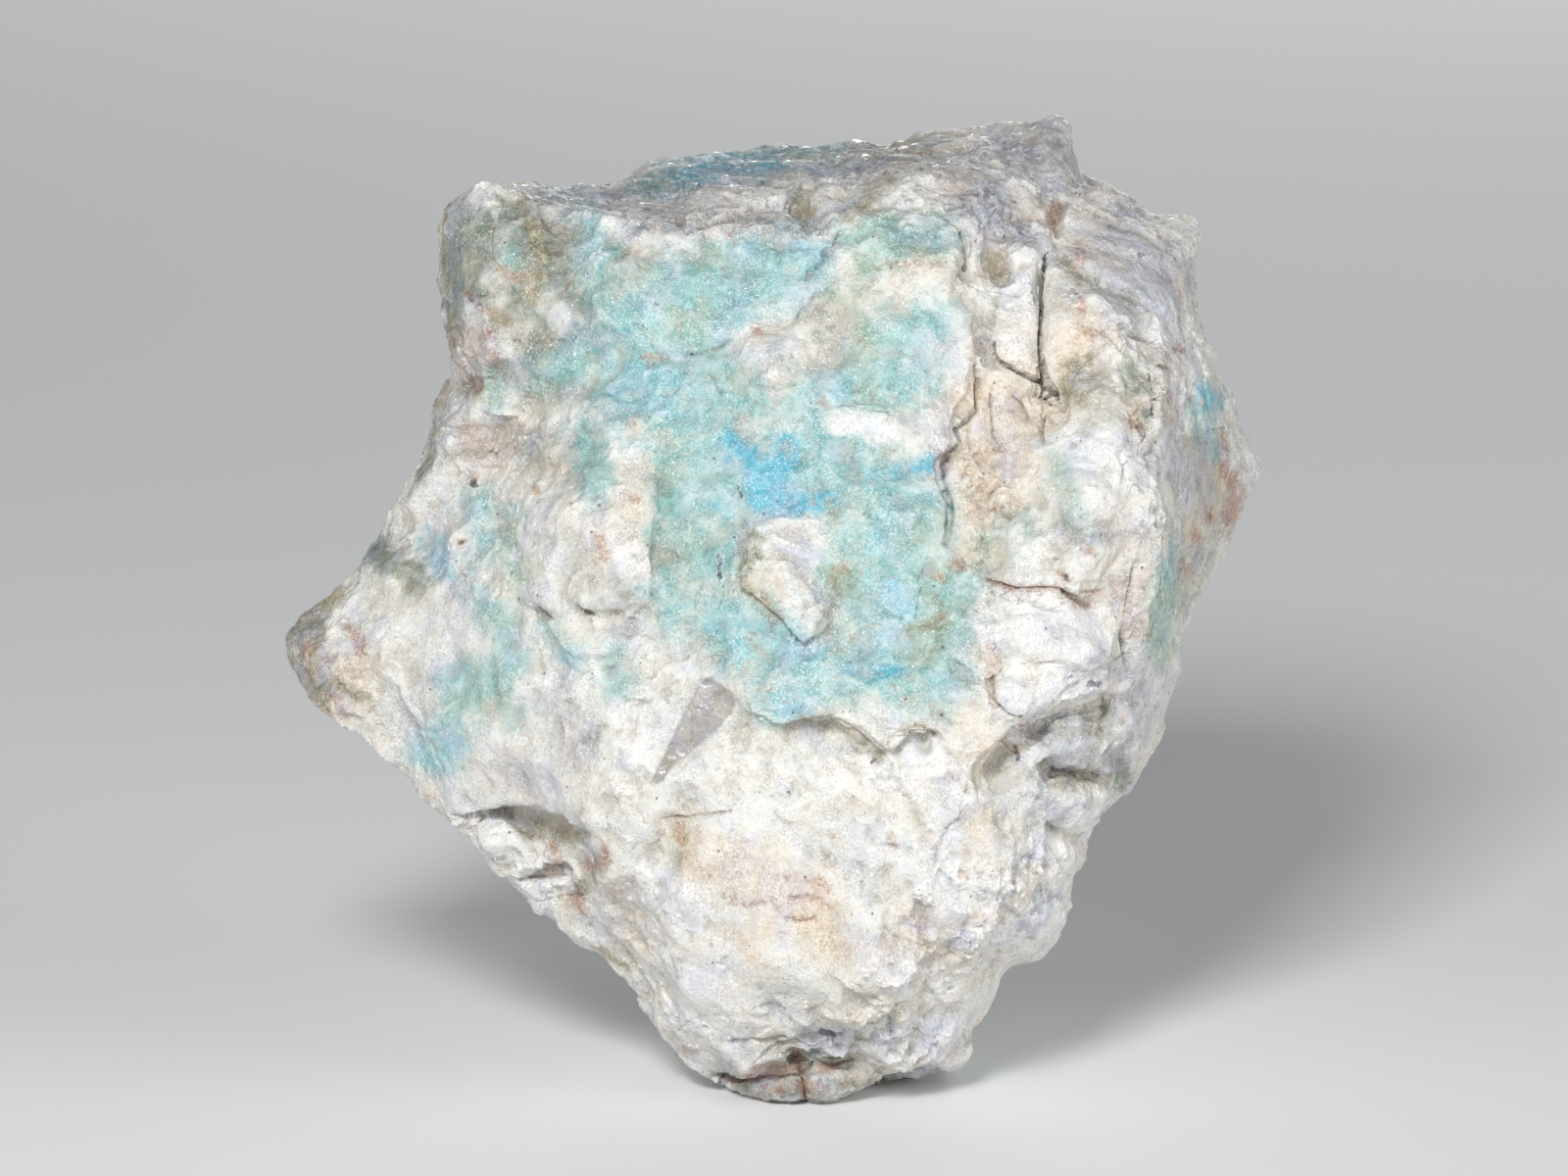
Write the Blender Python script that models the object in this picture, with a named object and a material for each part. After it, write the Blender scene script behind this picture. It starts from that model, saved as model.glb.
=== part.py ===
"""Montebrasite hand specimen: one broken lump of rock, about 100 mm across.

The stone is drawn the way a carver would read it. RIM is its outline, seen square-on, and the ridges, ledges
and spots give how far each place stands out from the plane of the outline, on the front and on the back. All
readings are (across, up, out) in millimetres: across to the right, up, and out towards the viewer. The two
reliefs are joined along the rim, worn and roughened as broken rock is, leant to the angle at which the stone
stands, and cut flat where it rests.
"""

import math

import bmesh
import bpy
import numpy as np
from mathutils import Matrix, Vector, noise
from mathutils.geometry import delaunay_2d_cdt

MM = 0.001
LEAN_DEG = 12.0  # the front leans back by this much when the stone stands
# The point of the leaning stone that becomes the origin, in the middle of its footprint: across, back and up
# from the outline's own centre, in millimetres. The stone is cut flat at that height.
REST_POINT = (-0.94, 3.12, -48.2)
WALL_DEPTH = 5.0  # thickness of the outer rim between the front and the back relief
WALL_INSET = 0.6  # how far the back of that rim is drawn in
LEDGE_FOOT = 0.7  # how far the foot of a ledge stands from its lip
CELL = 0.75  # fineness at which the two reliefs are fused
FACES_KEPT = 9400  # triangles of the finished stone

STONE_COLOUR = (0.78, 0.80, 0.76, 1.0)
STONE_ROUGHNESS = 0.62

# Clockwise from the nose at the upper left.
RIM = (
    (-35.4, 37.5, 2), (-34.2, 39.2, 3), (-32.0, 40.5, 4), (-30.8, 41.2, 3), (-27.5, 41.1, 0),
    (-24.0, 40.7, -3), (-22.0, 40.5, -6), (-18.0, 41.2, -9), (-15.5, 42.2, -12), (-13.5, 43.5, -15),
    (-11.0, 44.1, -17), (-6.0, 44.7, -19), (-3.0, 45.5, -21), (1.0, 46.1, -22), (4.0, 45.7, -22),
    (7.0, 46.1, -21), (10.0, 45.6, -21), (14.0, 46.5, -19), (17.5, 46.8, -18), (21.0, 47.5, -16),
    (25.0, 47.9, -13), (28.0, 48.6, -9), (29.5, 48.4, -8), (29.7, 47.0, -8), (29.2, 44.3, -9),
    (30.2, 43.2, -14), (31.8, 42.2, -16), (34.5, 41.2, -17), (36.0, 40.0, -16), (37.8, 38.2, -14),
    (40.5, 38.1, -9), (42.2, 37.3, -6), (42.4, 35.5, -5), (42.1, 32.5, -5), (42.6, 29.5, -6),
    (43.4, 26.5, -7), (44.6, 23.8, -9), (44.9, 21.7, -10), (46.2, 19.5, -12), (46.5, 17.5, -13),
    (47.5, 15.2, -14), (48.5, 13.2, -15), (48.7, 11.5, -16), (48.0, 9.7, -16), (46.8, 7.5, -15),
    (45.5, 5.0, -14), (44.3, 2.2, -12), (42.7, 0.0, -11), (41.7, -2.5, -10), (41.1, -5.0, -9),
    (40.9, -8.0, -9), (40.4, -11.0, -9), (39.0, -14.2, -8), (38.0, -16.2, -7), (36.5, -19.3, -5),
    (35.6, -21.1, -3), (34.0, -22.0, 0), (32.0, -23.5, 2), (32.1, -24.8, 3), (31.0, -26.2, 2),
    (30.8, -27.8, 4), (29.7, -28.8, 4), (29.2, -31.5, 4), (28.4, -34.5, 5), (27.7, -36.0, 5),
    (26.0, -37.2, 6), (22.5, -38.3, 7), (21.6, -40.0, 8), (20.3, -43.0, 8), (18.5, -45.8, 9),
    (17.9, -48.0, 9), (16.5, -49.3, 8), (14.0, -50.0, 6), (10.5, -50.4, 6), (8.0, -51.3, 9),
    (5.5, -52.1, 12), (1.5, -52.2, 13), (-2.0, -51.7, 12), (-4.5, -51.0, 11), (-6.5, -49.6, 10),
    (-10.0, -47.7, 9), (-12.0, -45.5, 9), (-13.2, -44.0, 9), (-14.3, -42.0, 8), (-15.8, -39.7, 8),
    (-17.5, -38.0, 7), (-18.5, -36.5, 7), (-20.0, -35.8, 6), (-22.0, -33.8, 6), (-23.5, -32.8, 6),
    (-25.2, -32.3, 6), (-26.8, -30.0, 5), (-28.8, -29.0, 4), (-30.2, -27.5, 4), (-31.3, -26.0, 4),
    (-33.0, -24.5, 4), (-34.5, -23.0, 4), (-36.8, -21.0, 3), (-39.5, -18.1, 1), (-42.5, -16.0, 0),
    (-45.5, -14.1, -1), (-48.0, -12.2, -2), (-49.4, -10.3, -3), (-49.8, -8.3, -4), (-50.5, -6.5, -5),
    (-50.3, -4.5, -6), (-49.5, -3.0, -7), (-47.5, -1.5, -6), (-45.5, 0.0, -4), (-44.3, 1.0, -4),
    (-43.4, 2.3, -4), (-42.8, 4.3, -14), (-41.2, 5.5, -12), (-40.0, 7.8, -3), (-38.8, 10.0, -10),
    (-38.0, 12.0, -14), (-37.2, 14.2, -16), (-36.0, 16.5, -17), (-35.8, 18.2, -15), (-35.3, 20.0, -14),
    (-35.0, 21.3, -12), (-34.3, 22.2, -4), (-34.4, 26.0, 0), (-34.6, 29.5, 1), (-35.0, 32.2, 1),
    (-34.7, 34.5, 1), (-35.1, 36.2, 2),
)

# Lines along which the front face breaks, without a step.
FRONT_RIDGES = (
    # the brow, where the front meets the striped top
    ((-30.0, 40.3, 5), (-25.5, 39.5, 8), (-20.0, 38.0, 11), (-17.5, 36.8, 13), (-14.5, 35.7, 15),
     (-10.0, 35.3, 16.5), (-7.5, 36.3, 17), (-4.0, 36.5, 17.5), (0.0, 36.4, 18), (3.5, 36.4, 18),
     (6.0, 36.8, 17.5), (8.5, 38.0, 17), (10.5, 39.5, 16), (12.0, 40.5, 14.5)),
    # the slot behind the brow, and the pale crest behind that
    ((4.5, 37.3, 13), (7.0, 38.9, 12), (9.0, 40.5, 11), (10.8, 42.0, 8)),
    ((2.0, 38.7, 8), (5.0, 40.2, 6), (8.0, 41.8, 3), (11.0, 43.4, -1), (15.5, 44.4, -5)),
    # right end of the blue-green plate
    ((13.5, 38.2, 16.5), (15.2, 37.4, 17), (17.6, 37.0, 17), (18.2, 35.0, 18), (18.6, 32.8, 19)),
    # back of the summit
    ((28.9, 46.0, -6), (28.4, 44.4, -4), (27.8, 43.0, -1), (27.6, 40.8, 3)),
    # top of the smooth block at the upper right
    ((28.4, 39.4, 2), (30.0, 39.5, 0), (32.0, 39.3, -1), (34.5, 38.0, 0), (36.5, 37.0, 1),
     (38.5, 36.0, 1), (40.5, 35.8, 0)),
    # gutter between that block and the cracked wedges
    ((26.9, 33.8, 10), (28.8, 32.4, 10.5), (31.2, 31.4, 11), (34.0, 30.2, 11.5), (36.0, 28.8, 12)),
    ((22.4, 33.2, 15), (23.2, 34.2, 15.5), (25.0, 34.5, 15.5), (26.2, 33.6, 15.5), (27.4, 32.2, 16),
     (29.0, 31.2, 17), (31.0, 29.8, 18), (33.5, 28.2, 19), (35.5, 26.5, 19)),
    # corner between the front and the right side
    ((37.8, 27.0, 13.5), (38.0, 22.0, 17.5), (37.7, 18.0, 20), (37.5, 13.0, 21.5), (37.8, 8.0, 22),
     (37.7, 4.0, 22), (38.0, 1.0, 21.5), (37.5, -2.0, 21), (36.5, -5.0, 20.5), (35.0, -8.0, 20.5),
     (34.4, -10.0, 20), (34.9, -12.0, 19), (35.6, -14.5, 16), (36.1, -17.0, 11), (35.8, -19.3, 5)),
    # crest between the cream face and the sugary lower right
    ((19.0, -20.0, 29.5), (17.0, -25.0, 30), (14.5, -29.5, 30), (11.5, -34.0, 29.5), (9.0, -38.5, 28.5),
     (7.0, -41.5, 27)),
    # quartz wedge and the vein that runs on from it to the lower left
    ((-8.5, -10.0, 27.2), (-9.5, -13.0, 27), (-11.5, -17.0, 26.6), (-13.5, -20.5, 26), (-15.8, -24.0, 24),
     (-17.6, -27.0, 21), (-18.8, -30.5, 17), (-20.2, -33.0, 11)),
    # valley between the upper left block and the left arm
    ((-34.0, 17.5, 2), (-31.0, 15.5, 5), (-28.0, 16.2, 8.5), (-25.5, 18.3, 11), (-22.0, 20.0, 13.5),
     (-18.5, 22.5, 15.5), (-13.0, 23.0, 18.5)),
    # upper edge of the left arm
    ((-34.6, 15.3, 4), (-35.5, 12.8, 3.5), (-37.5, 10.5, 2), (-39.2, 8.3, 1)),
    # edge of the left tip's glassy border
    ((-43.0, 1.4, -1), (-45.2, -1.6, 0), (-46.8, -4.5, 0.5), (-47.6, -7.5, 0.5), (-47.0, -10.3, 0.5)),
    # crease above the foot
    ((-5.8, -49.2, 12), (-4.0, -49.6, 14), (-1.0, -49.2, 16), (1.8, -48.7, 17.5), (4.0, -48.2, 18),
     (7.0, -47.4, 17)),
)

# Steps on the front: the lip's line, how far it drops, and the side of the line that is low.
LEDGES = (
    # overhang below the big lump on the right
    (((20.5, 0.6, 26.5), (23.0, 0.2, 28), (26.0, 0.0, 29), (28.0, -0.2, 29), (30.0, -1.0, 28),
      (32.0, -0.8, 26)), 2.0, "right"),
    # long ledge below the white block
    (((33.6, -10.4, 21.5), (31.0, -10.6, 24.5), (28.5, -11.3, 27), (26.0, -12.3, 28.5), (24.0, -13.3, 29),
      (22.0, -14.8, 29), (20.5, -16.5, 29), (18.5, -18.3, 29)), 4.5, "left"),
    # lower edge of the blue-green plate
    (((-4.0, -10.5, 29), (-3.0, -12.8, 29.5), (-0.5, -13.6, 30), (2.5, -13.0, 30.5), (5.5, -13.1, 31),
      (8.0, -14.5, 31.5), (9.7, -16.2, 31.5), (11.0, -15.5, 31.5), (12.5, -14.3, 31), (14.5, -14.2, 30.5),
      (16.0, -14.8, 30)), 2.4, "right"),
    # lump at the middle left, its two lower lips and its right edge
    (((-27.0, 0.5, 16.5), (-25.0, -1.0, 19), (-22.5, -1.8, 21), (-20.0, -2.0, 22.5), (-16.5, -2.0, 24),
      (-14.6, -1.4, 25)), 1.8, "right"),
    (((-24.6, -3.5, 18.6), (-23.0, -5.0, 20), (-22.0, -6.4, 21), (-20.0, -7.4, 22.3), (-18.0, -7.1, 23),
      (-16.0, -6.0, 24)), 1.4, "right"),
    (((-13.4, 0.4, 25.3), (-13.4, 3.5, 24.8), (-12.8, 8.0, 24), (-13.2, 13.0, 22.3)), 1.0, "right"),
    # roof of the hollow at the lower left
    (((-33.4, -23.4, 6), (-31.0, -22.6, 9), (-28.0, -22.0, 12.5), (-25.0, -22.0, 15.5), (-22.0, -23.0, 18),
      (-20.3, -25.0, 19)), 4.5, "right"),
    # raised chip in the middle of the plate
    (((-2.7, 6.2, 28.0), (-3.5, 5.5, 28.3), (-3.8, 4.0, 28.5), (-3.7, 2.5, 28.7), (-4.3, 1.5, 28.8),
      (-4.2, 0.3, 29), (-3.0, -0.3, 29.3), (-2.0, -1.2, 29.5), (-1.0, -2.5, 29.8), (0.0, -3.5, 30),
      (0.5, -4.5, 30), (2.0, -5.2, 30), (3.2, -4.5, 30), (3.6, -3.0, 29.8)), 1.5, "right"),
    # lip above the foot's crease
    (((-3.6, -48.6, 18.5), (-1.0, -48.3, 19.5), (1.0, -47.6, 20), (3.4, -46.9, 20.5), (6.3, -45.9, 20)),
     1.6, "right"),
)

# Free-standing readings of the front, roughly from the top down.
FRONT_SPOTS = (
    # striped top
    (-20.0, 39.6, 3), (-15.0, 38.5, 8), (-10.0, 37.4, 12), (-5.0, 38.0, 12.5), (-1.0, 38.2, 12.5),
    (-9.0, 40.0, 6), (-4.0, 40.7, 6.5), (-0.5, 40.2, 7), (-14.0, 41.2, -5), (-8.0, 42.3, -8),
    (-2.0, 43.0, -10), (3.0, 42.0, -1), (5.0, 43.9, -11), (10.0, 44.6, -12), (-12.0, 42.8, -12),
    # saddle and summit
    (15.5, 41.5, 10), (17.5, 43.6, 1), (19.0, 40.0, 10), (20.5, 38.5, 11), (23.0, 37.0, 9),
    (25.5, 38.8, 6), (22.5, 41.0, 6), (20.0, 43.8, 1), (24.5, 35.7, 9), (21.0, 34.8, 12),
    (20.0, 32.8, 15), (21.4, 31.9, 13), (26.2, 36.2, 8), (24.0, 43.8, -1), (27.3, 46.2, -6),
    (26.6, 42.0, 1), (26.3, 40.2, 4), (22.0, 45.7, -8), (29.5, 42.0, -10), (31.0, 41.2, -13),
    (33.5, 39.9, -12), (36.0, 38.3, -9), (39.5, 37.2, -6),
    # smooth block at the upper right
    (27.4, 38.2, 4), (27.8, 36.0, 6), (31.0, 36.0, 6), (35.0, 33.5, 8), (38.5, 32.5, 5), (41.2, 33.5, 0),
    (38.7, 29.0, 8), (41.0, 28.0, 1), (33.5, 31.8, 10),
    # cracked wedges
    (22.0, 31.0, 16.5), (21.0, 28.0, 18), (20.0, 25.6, 19), (19.5, 30.0, 18.5), (24.0, 30.0, 19),
    (24.0, 26.5, 20), (29.0, 27.0, 21), (30.0, 23.0, 22.5), (26.5, 22.0, 21), (34.0, 24.5, 21.5),
    (26.6, 19.2, 20.5),
    # big lump
    (33.0, 21.0, 23.5), (36.4, 22.5, 20), (29.5, 18.0, 24), (33.0, 15.0, 26.5), (28.0, 12.0, 26.5),
    (31.0, 8.0, 28.5), (35.0, 8.0, 26), (26.5, 6.0, 27.5), (31.5, 4.0, 28), (35.0, 4.5, 25),
    (23.5, 3.5, 27), (27.0, 1.8, 28.5), (30.0, 2.0, 28.5), (22.0, 7.5, 25), (24.5, 10.0, 25),
    (25.5, 14.5, 24),
    # strip inside the right corner, and the right side
    (36.2, 2.5, 23.5), (35.0, -2.0, 22.5), (33.5, -5.0, 22.5), (32.6, -8.0, 22), (41.5, 22.0, 8),
    (42.5, 15.0, 5), (44.5, 12.0, -2), (45.5, 9.5, -8), (41.0, 8.0, 9), (43.0, 4.5, -1), (40.5, 1.0, 6),
    (39.0, -4.0, 8), (38.5, -8.0, 7), (38.0, -12.0, 6), (37.0, -15.0, 6), (43.2, 20.5, 0), (41.0, 25.5, 4),
    # rough strip left of the lump
    (19.5, 17.0, 22), (18.0, 12.5, 23), (21.0, 20.5, 20.5), (21.5, 15.0, 22), (22.0, 11.0, 23),
    (18.5, 8.0, 24), (19.0, 4.0, 25), (16.0, 12.0, 24.5), (17.3, 16.0, 23.5), (19.0, 20.5, 22),
    (20.4, 23.0, 20.5), (16.5, 8.0, 25.5), (16.7, 4.0, 26.5),
    # white block
    (21.0, -2.6, 27), (25.0, -2.8, 27), (29.0, -3.6, 26.5), (32.2, -3.0, 24.5), (24.0, -5.5, 28.5),
    (29.0, -5.5, 27.5), (20.5, -5.5, 28.5), (28.0, -8.0, 27.5), (24.0, -8.3, 28), (22.0, -10.0, 29.5),
    (25.5, -10.4, 30), (22.3, -12.3, 30),
    # grey block under the long ledge, and its two hollows
    (32.0, -14.5, 21), (28.5, -15.0, 23), (25.0, -16.8, 26), (27.5, -18.4, 21), (30.0, -19.0, 18.5),
    (32.5, -19.0, 15.5), (27.0, -21.0, 22), (31.5, -21.2, 16), (29.5, -23.5, 16.5), (28.0, -25.0, 14),
    (31.0, -25.2, 9), (34.2, -20.3, 8), (24.0, -22.0, 25),
    # sugary lower right
    (21.5, -24.0, 27.5), (25.0, -27.0, 23), (28.5, -27.5, 15), (20.0, -29.0, 27), (24.0, -31.0, 22.5),
    (27.5, -33.0, 13), (17.0, -34.0, 26.5), (22.0, -35.5, 19.5), (19.0, -38.8, 19.5), (14.0, -38.0, 25),
    (14.5, -42.5, 21), (17.5, -44.0, 14), (10.0, -43.0, 23.5), (13.5, -46.5, 16), (8.5, -47.9, 16),
    (11.0, -49.0, 11),
    # cream face
    (0.0, -17.0, 28.5), (8.0, -19.0, 29.5), (13.0, -19.0, 30), (-5.0, -20.0, 28.5), (5.0, -24.0, 30),
    (-8.0, -26.0, 27.5), (-2.0, -31.0, 29), (5.0, -32.0, 30.5), (-9.0, -34.0, 25), (-3.0, -39.0, 27.5),
    (3.0, -40.5, 28.5), (-9.5, -41.0, 21.5), (-14.0, -36.0, 18), (-14.5, -31.0, 21), (-16.5, -34.5, 14),
    (-12.0, -43.0, 14), (-8.5, -45.5, 16), (-4.0, -45.5, 21.5), (1.5, -45.0, 22.5), (4.0, -44.3, 21.5),
    # foot
    (-3.0, -50.6, 14.5), (1.0, -50.4, 17), (4.0, -50.2, 17.5), (7.5, -49.6, 14),
    # around the quartz wedge
    (-5.5, -11.5, 27.8), (-6.5, -14.5, 27.8), (-13.0, -12.0, 26), (-16.0, -16.0, 25.5), (-18.0, -20.0, 24),
    (-15.2, -18.0, 25.8), (-19.5, -24.0, 21.0),
    # blue-green plate
    (-1.5, -10.5, 30), (4.0, -9.0, 30.5), (10.0, -10.0, 31), (15.0, -10.0, 30), (17.5, -7.0, 29.5),
    (5.5, -1.0, 28.8), (12.0, -3.0, 29), (17.0, -1.0, 28), (-6.5, -3.5, 26.8), (-10.0, -6.0, 26),
    (12.0, 4.0, 27.5), (-8.0, 3.0, 26), (-9.0, 10.0, 24), (-3.0, 9.0, 26), (3.0, 10.0, 26.5),
    (9.0, 9.0, 27), (14.0, 13.0, 25), (-5.0, 15.0, 24), (2.0, 17.0, 24.5), (9.0, 17.5, 24.5),
    (-11.0, 18.0, 21.5), (-5.0, 21.5, 21.6), (-1.0, 24.5, 22), (5.0, 24.0, 22), (12.0, 22.0, 23),
    (16.0, 24.0, 21.5), (3.0, 30.0, 20.5), (9.0, 31.5, 20.5), (15.0, 32.0, 20.5), (-4.0, 31.0, 20),
    (-11.0, 30.0, 18.5), (-8.0, 25.5, 20), (-16.0, 32.0, 16.5), (-18.0, 27.0, 16.5), (17.0, 28.5, 20),
    (2.0, 3.0, 28.8), (1.0, -1.5, 29.8),
    # upper left block
    (-27.0, 36.0, 10), (-32.5, 37.5, 5), (-32.0, 32.0, 7.5), (-27.5, 30.0, 11.5), (-22.0, 33.0, 13.5),
    (-22.0, 26.5, 14.5), (-31.5, 27.5, 8), (-28.0, 24.5, 11.5), (-32.8, 23.5, 4.5), (-30.0, 21.0, 8),
    (-25.0, 22.0, 13), (-33.4, 30.0, 4), (-30.6, 17.8, 7), (-27.5, 18.2, 10),
    # left arm
    (-31.0, 11.0, 8), (-35.5, 6.0, 5.5), (-29.0, 6.0, 11.5), (-39.5, 3.0, 3), (-36.0, 0.0, 7),
    (-41.5, -3.5, 4.5), (-43.5, -8.5, 4), (-43.0, -11.8, 2.5), (-38.5, -6.5, 8), (-33.0, -5.0, 10.5),
    (-33.0, -12.0, 11.5), (-38.5, -12.5, 7), (-27.6, -5.0, 14.5), (-26.0, -11.0, 16.5),
    (-34.0, -18.0, 9), (-28.0, -17.0, 15.5), (-22.0, -14.5, 20.5), (-20.5, -10.0, 21.5),
    (-38.5, -17.0, 3.5), (-24.0, -19.5, 18), (-28.6, 2.0, 13.5),
    # lump at the middle left
    (-25.0, 7.5, 17.5), (-22.0, 10.5, 19), (-17.0, 12.5, 21.5), (-14.6, 9.5, 23.5), (-15.0, 5.0, 24.5),
    (-20.0, 5.0, 22.5), (-24.0, 1.5, 19), (-18.0, 0.8, 24), (-20.0, -5.0, 22.0),
    # lumps on the floor of the hollow
    (-30.4, -25.2, 7.5), (-28.0, -25.6, 9.5), (-26.5, -27.0, 10), (-29.0, -27.6, 6), (-24.0, -28.3, 10.5),
    (-25.8, -29.3, 7), (-24.5, -30.5, 8.5), (-22.5, -31.3, 8.5), (-22.0, -28.5, 12),
)

# The back, from readings of a plain broken face: no picture shows it.
BACK_SPOTS = (
    (-28.0, 34.0, -12), (-20.0, 35.0, -19), (-10.0, 38.5, -28), (0.0, 40.0, -31), (10.0, 40.0, -32),
    (20.0, 41.0, -28), (26.0, 40.0, -22), (33.0, 35.0, -26), (38.5, 30.0, -18), (-30.5, 22.0, -22),
    (-20.0, 24.0, -29), (-8.0, 26.0, -35), (5.0, 28.0, -36), (18.0, 30.0, -37), (30.0, 22.0, -33),
    (40.0, 16.0, -27), (-36.5, 6.0, -22), (-28.0, 8.0, -29), (-15.0, 10.0, -34), (0.0, 12.0, -38),
    (14.0, 12.0, -40), (27.0, 8.0, -37), (38.0, 6.0, -29), (-43.5, -6.0, -15), (-34.0, -8.0, -23),
    (-22.0, -8.0, -30), (-8.0, -6.0, -35), (6.0, -6.0, -39), (20.0, -8.0, -37), (32.0, -8.0, -28),
    (-36.0, -15.0, -13), (-26.0, -19.0, -20), (-14.0, -20.0, -28), (0.0, -22.0, -34),
    (13.0, -24.0, -33), (24.0, -24.0, -24), (30.0, -19.0, -21), (-16.0, -32.0, -15),
    (-6.0, -36.0, -23), (6.0, -38.0, -28), (16.0, -36.0, -22), (23.0, -33.0, -14),
    (-7.0, -47.5, -3), (-6.0, -48.0, -12), (3.0, -48.5, -20), (12.0, -48.0, -17), (16.0, -48.5, -5),
    (4.0, -51.5, 0),
)

# Cracks, crevices and pits of the front: a line of (across, up) points, half its width, and its depth.
CRACKS = (
    # the open black crack and the one that crosses its lower end
    (((26.5, 33.5), (26.0, 31.0), (26.0, 27.0), (25.8, 25.0), (26.0, 22.5), (26.5, 19.2)), 0.9, 2.0),
    (((21.5, 23.2), (23.5, 21.8), (26.0, 20.7), (27.5, 19.5), (28.5, 18.0), (27.8, 16.8)), 0.8, 1.0),
    # the long one on the left of the cracked wedges
    (((20.0, 25.5), (20.5, 23.0), (19.8, 21.7), (19.5, 20.0), (18.0, 17.0), (17.5, 16.0), (17.2, 13.5),
      (16.2, 13.0), (15.9, 11.5), (16.2, 10.0), (16.7, 8.5), (16.6, 4.5)), 1.0, 1.5),
    (((20.8, 20.0), (21.0, 17.0), (21.5, 14.5)), 0.9, 0.8),
    # fine ones across the blue-green plate
    (((6.2, 36.0), (4.8, 34.0), (2.2, 31.7), (2.0, 29.0), (1.5, 27.5), (0.0, 26.5), (-3.0, 26.5)), 0.8, 0.8),
    (((-5.0, 25.0), (-7.5, 24.0), (-11.0, 23.0), (-14.0, 23.2)), 0.8, 0.7),
    # right end of the plate, and the hollow beyond it
    (((17.8, 36.0), (18.3, 34.0), (18.6, 32.3)), 1.1, 1.5),
    (((21.2, 33.5), (22.0, 32.0)), 1.3, 1.6),
    (((1.8, 38.8), (2.6, 37.6)), 1.5, 1.6),
    # below the big lump and the long ledge
    (((28.0, -0.5), (30.0, -1.5), (31.0, -2.0)), 0.9, 1.2),
    (((32.0, -12.2), (28.0, -12.5), (25.0, -14.5)), 0.9, 1.3),
    (((26.5, -18.0), (28.8, -18.8), (31.0, -19.5)), 1.2, 1.8),
    (((33.0, -17.0), (34.5, -18.5), (35.0, -20.0)), 1.0, 1.4),
    (((27.0, -24.0), (28.5, -25.2), (30.0, -25.5)), 1.0, 1.4),
    # pits of the cream face and the sugary lower right
    (((14.0, -32.3), (14.6, -34.0)), 1.2, 1.5),
    (((2.2, -44.8), (5.2, -45.5)), 1.3, 1.2),
    (((-16.0, -11.5), (-14.0, -11.5)), 0.7, 0.8),
    # the foot's crease, and the crack down from it
    (((-6.5, -49.5), (-4.0, -50.0), (-1.0, -49.3), (3.0, -49.0), (5.0, -48.3), (8.0, -47.2)), 1.0, 1.4),
    (((1.2, -47.5), (1.8, -49.5), (2.2, -52.0)), 0.9, 1.3),
    # pockets under the lump at the middle left, the line on the arm, and the seams of the hollow's floor
    (((-24.5, -2.3), (-23.9, -3.0)), 1.3, 1.4),
    (((-20.3, -2.2), (-19.8, -2.6)), 1.1, 1.2),
    (((-27.5, 5.5), (-27.2, 0.0)), 0.8, 0.6),
    (((-26.0, -29.2), (-24.0, -29.0), (-22.0, -28.8)), 0.9, 1.2),
    (((-24.0, -31.2), (-21.0, -30.8)), 0.8, 1.0),
)

# Knobs of the front: (across, up), radius and height.
KNOBS = (
    ((-34.0, 15.0), 2.0, 1.1), ((-29.0, -25.5), 2.6, 1.2), ((-26.0, -28.8), 2.2, 0.9), ((29.0, 8.0), 6.0, 1.0),
    ((33.0, 16.0), 5.0, 0.9), ((22.8, -11.3), 2.6, 1.0), ((-31.8, 24.5), 2.4, 0.8), ((-7.7, 39.5), 2.6, 0.9),
    ((4.5, 38.8), 2.2, 1.1), ((-2.5, 23.0), 3.6, 0.8), ((23.0, -28.0), 3.2, 0.9), ((18.0, -37.0), 3.0, 0.8),
    ((20.0, -41.5), 2.6, 0.7), ((-17.5, 6.0), 4.5, 0.8), ((0.5, 0.5), 4.2, 0.9), ((24.0, 4.0), 4.0, 0.8),
)

# Broken facets: (size in mm, height in mm) of each order, and the same for the rounder roughness between them.
FACETS = ((8.5, 0.7), (3.8, 0.4))
ROUGHNESS = ((13.0, 0.75), (5.5, 0.35))
NOISE_ORIGIN = Vector((3.7, 11.3, 5.9))
GROWTH = 0.22  # makes good what the fusing of the two reliefs wears off the corners


def clear_scene():
    for obj in list(bpy.data.objects):
        bpy.data.objects.remove(obj)


def drawn_in(loop, inset, depth):
    """The loop moved towards its own inside by inset, and back by depth."""
    moved = []
    for before, here, after in zip(loop[-1:] + loop[:-1], loop, loop[1:] + loop[:1]):
        along = Vector((after[0] - before[0], after[1] - before[1])).normalized()
        moved.append((here[0] + along.y * inset, here[1] - along.x * inset, here[2] - depth))
    return moved


def ledge_foot(lip, drop, side):
    """The foot line of a ledge: beside its lip, on the low side, and lower by drop except at the ends."""
    turn = 1.0 if side == "left" else -1.0
    foot = []
    last = len(lip) - 1
    for i, (across, up, out) in enumerate(lip):
        start, end = lip[max(i - 1, 0)], lip[min(i + 1, last)]
        along = Vector((end[0] - start[0], end[1] - start[1])).normalized()
        fall = drop * (0.35 if i in (0, last) else 1.0)
        foot.append((across - along.y * turn * LEDGE_FOOT, up + along.x * turn * LEDGE_FOOT, out - fall))
    return foot


def inside(point, loop):
    """Whether a point lies within the closed loop, both seen square-on."""
    across, up = point
    crossed = False
    for (ax, ay, _), (bx, by, _) in zip(loop, loop[1:] + loop[:1]):
        if (ay > up) != (by > up) and across < (bx - ax) * (up - ay) / (by - ay) + ax:
            crossed = not crossed
    return crossed


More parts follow.
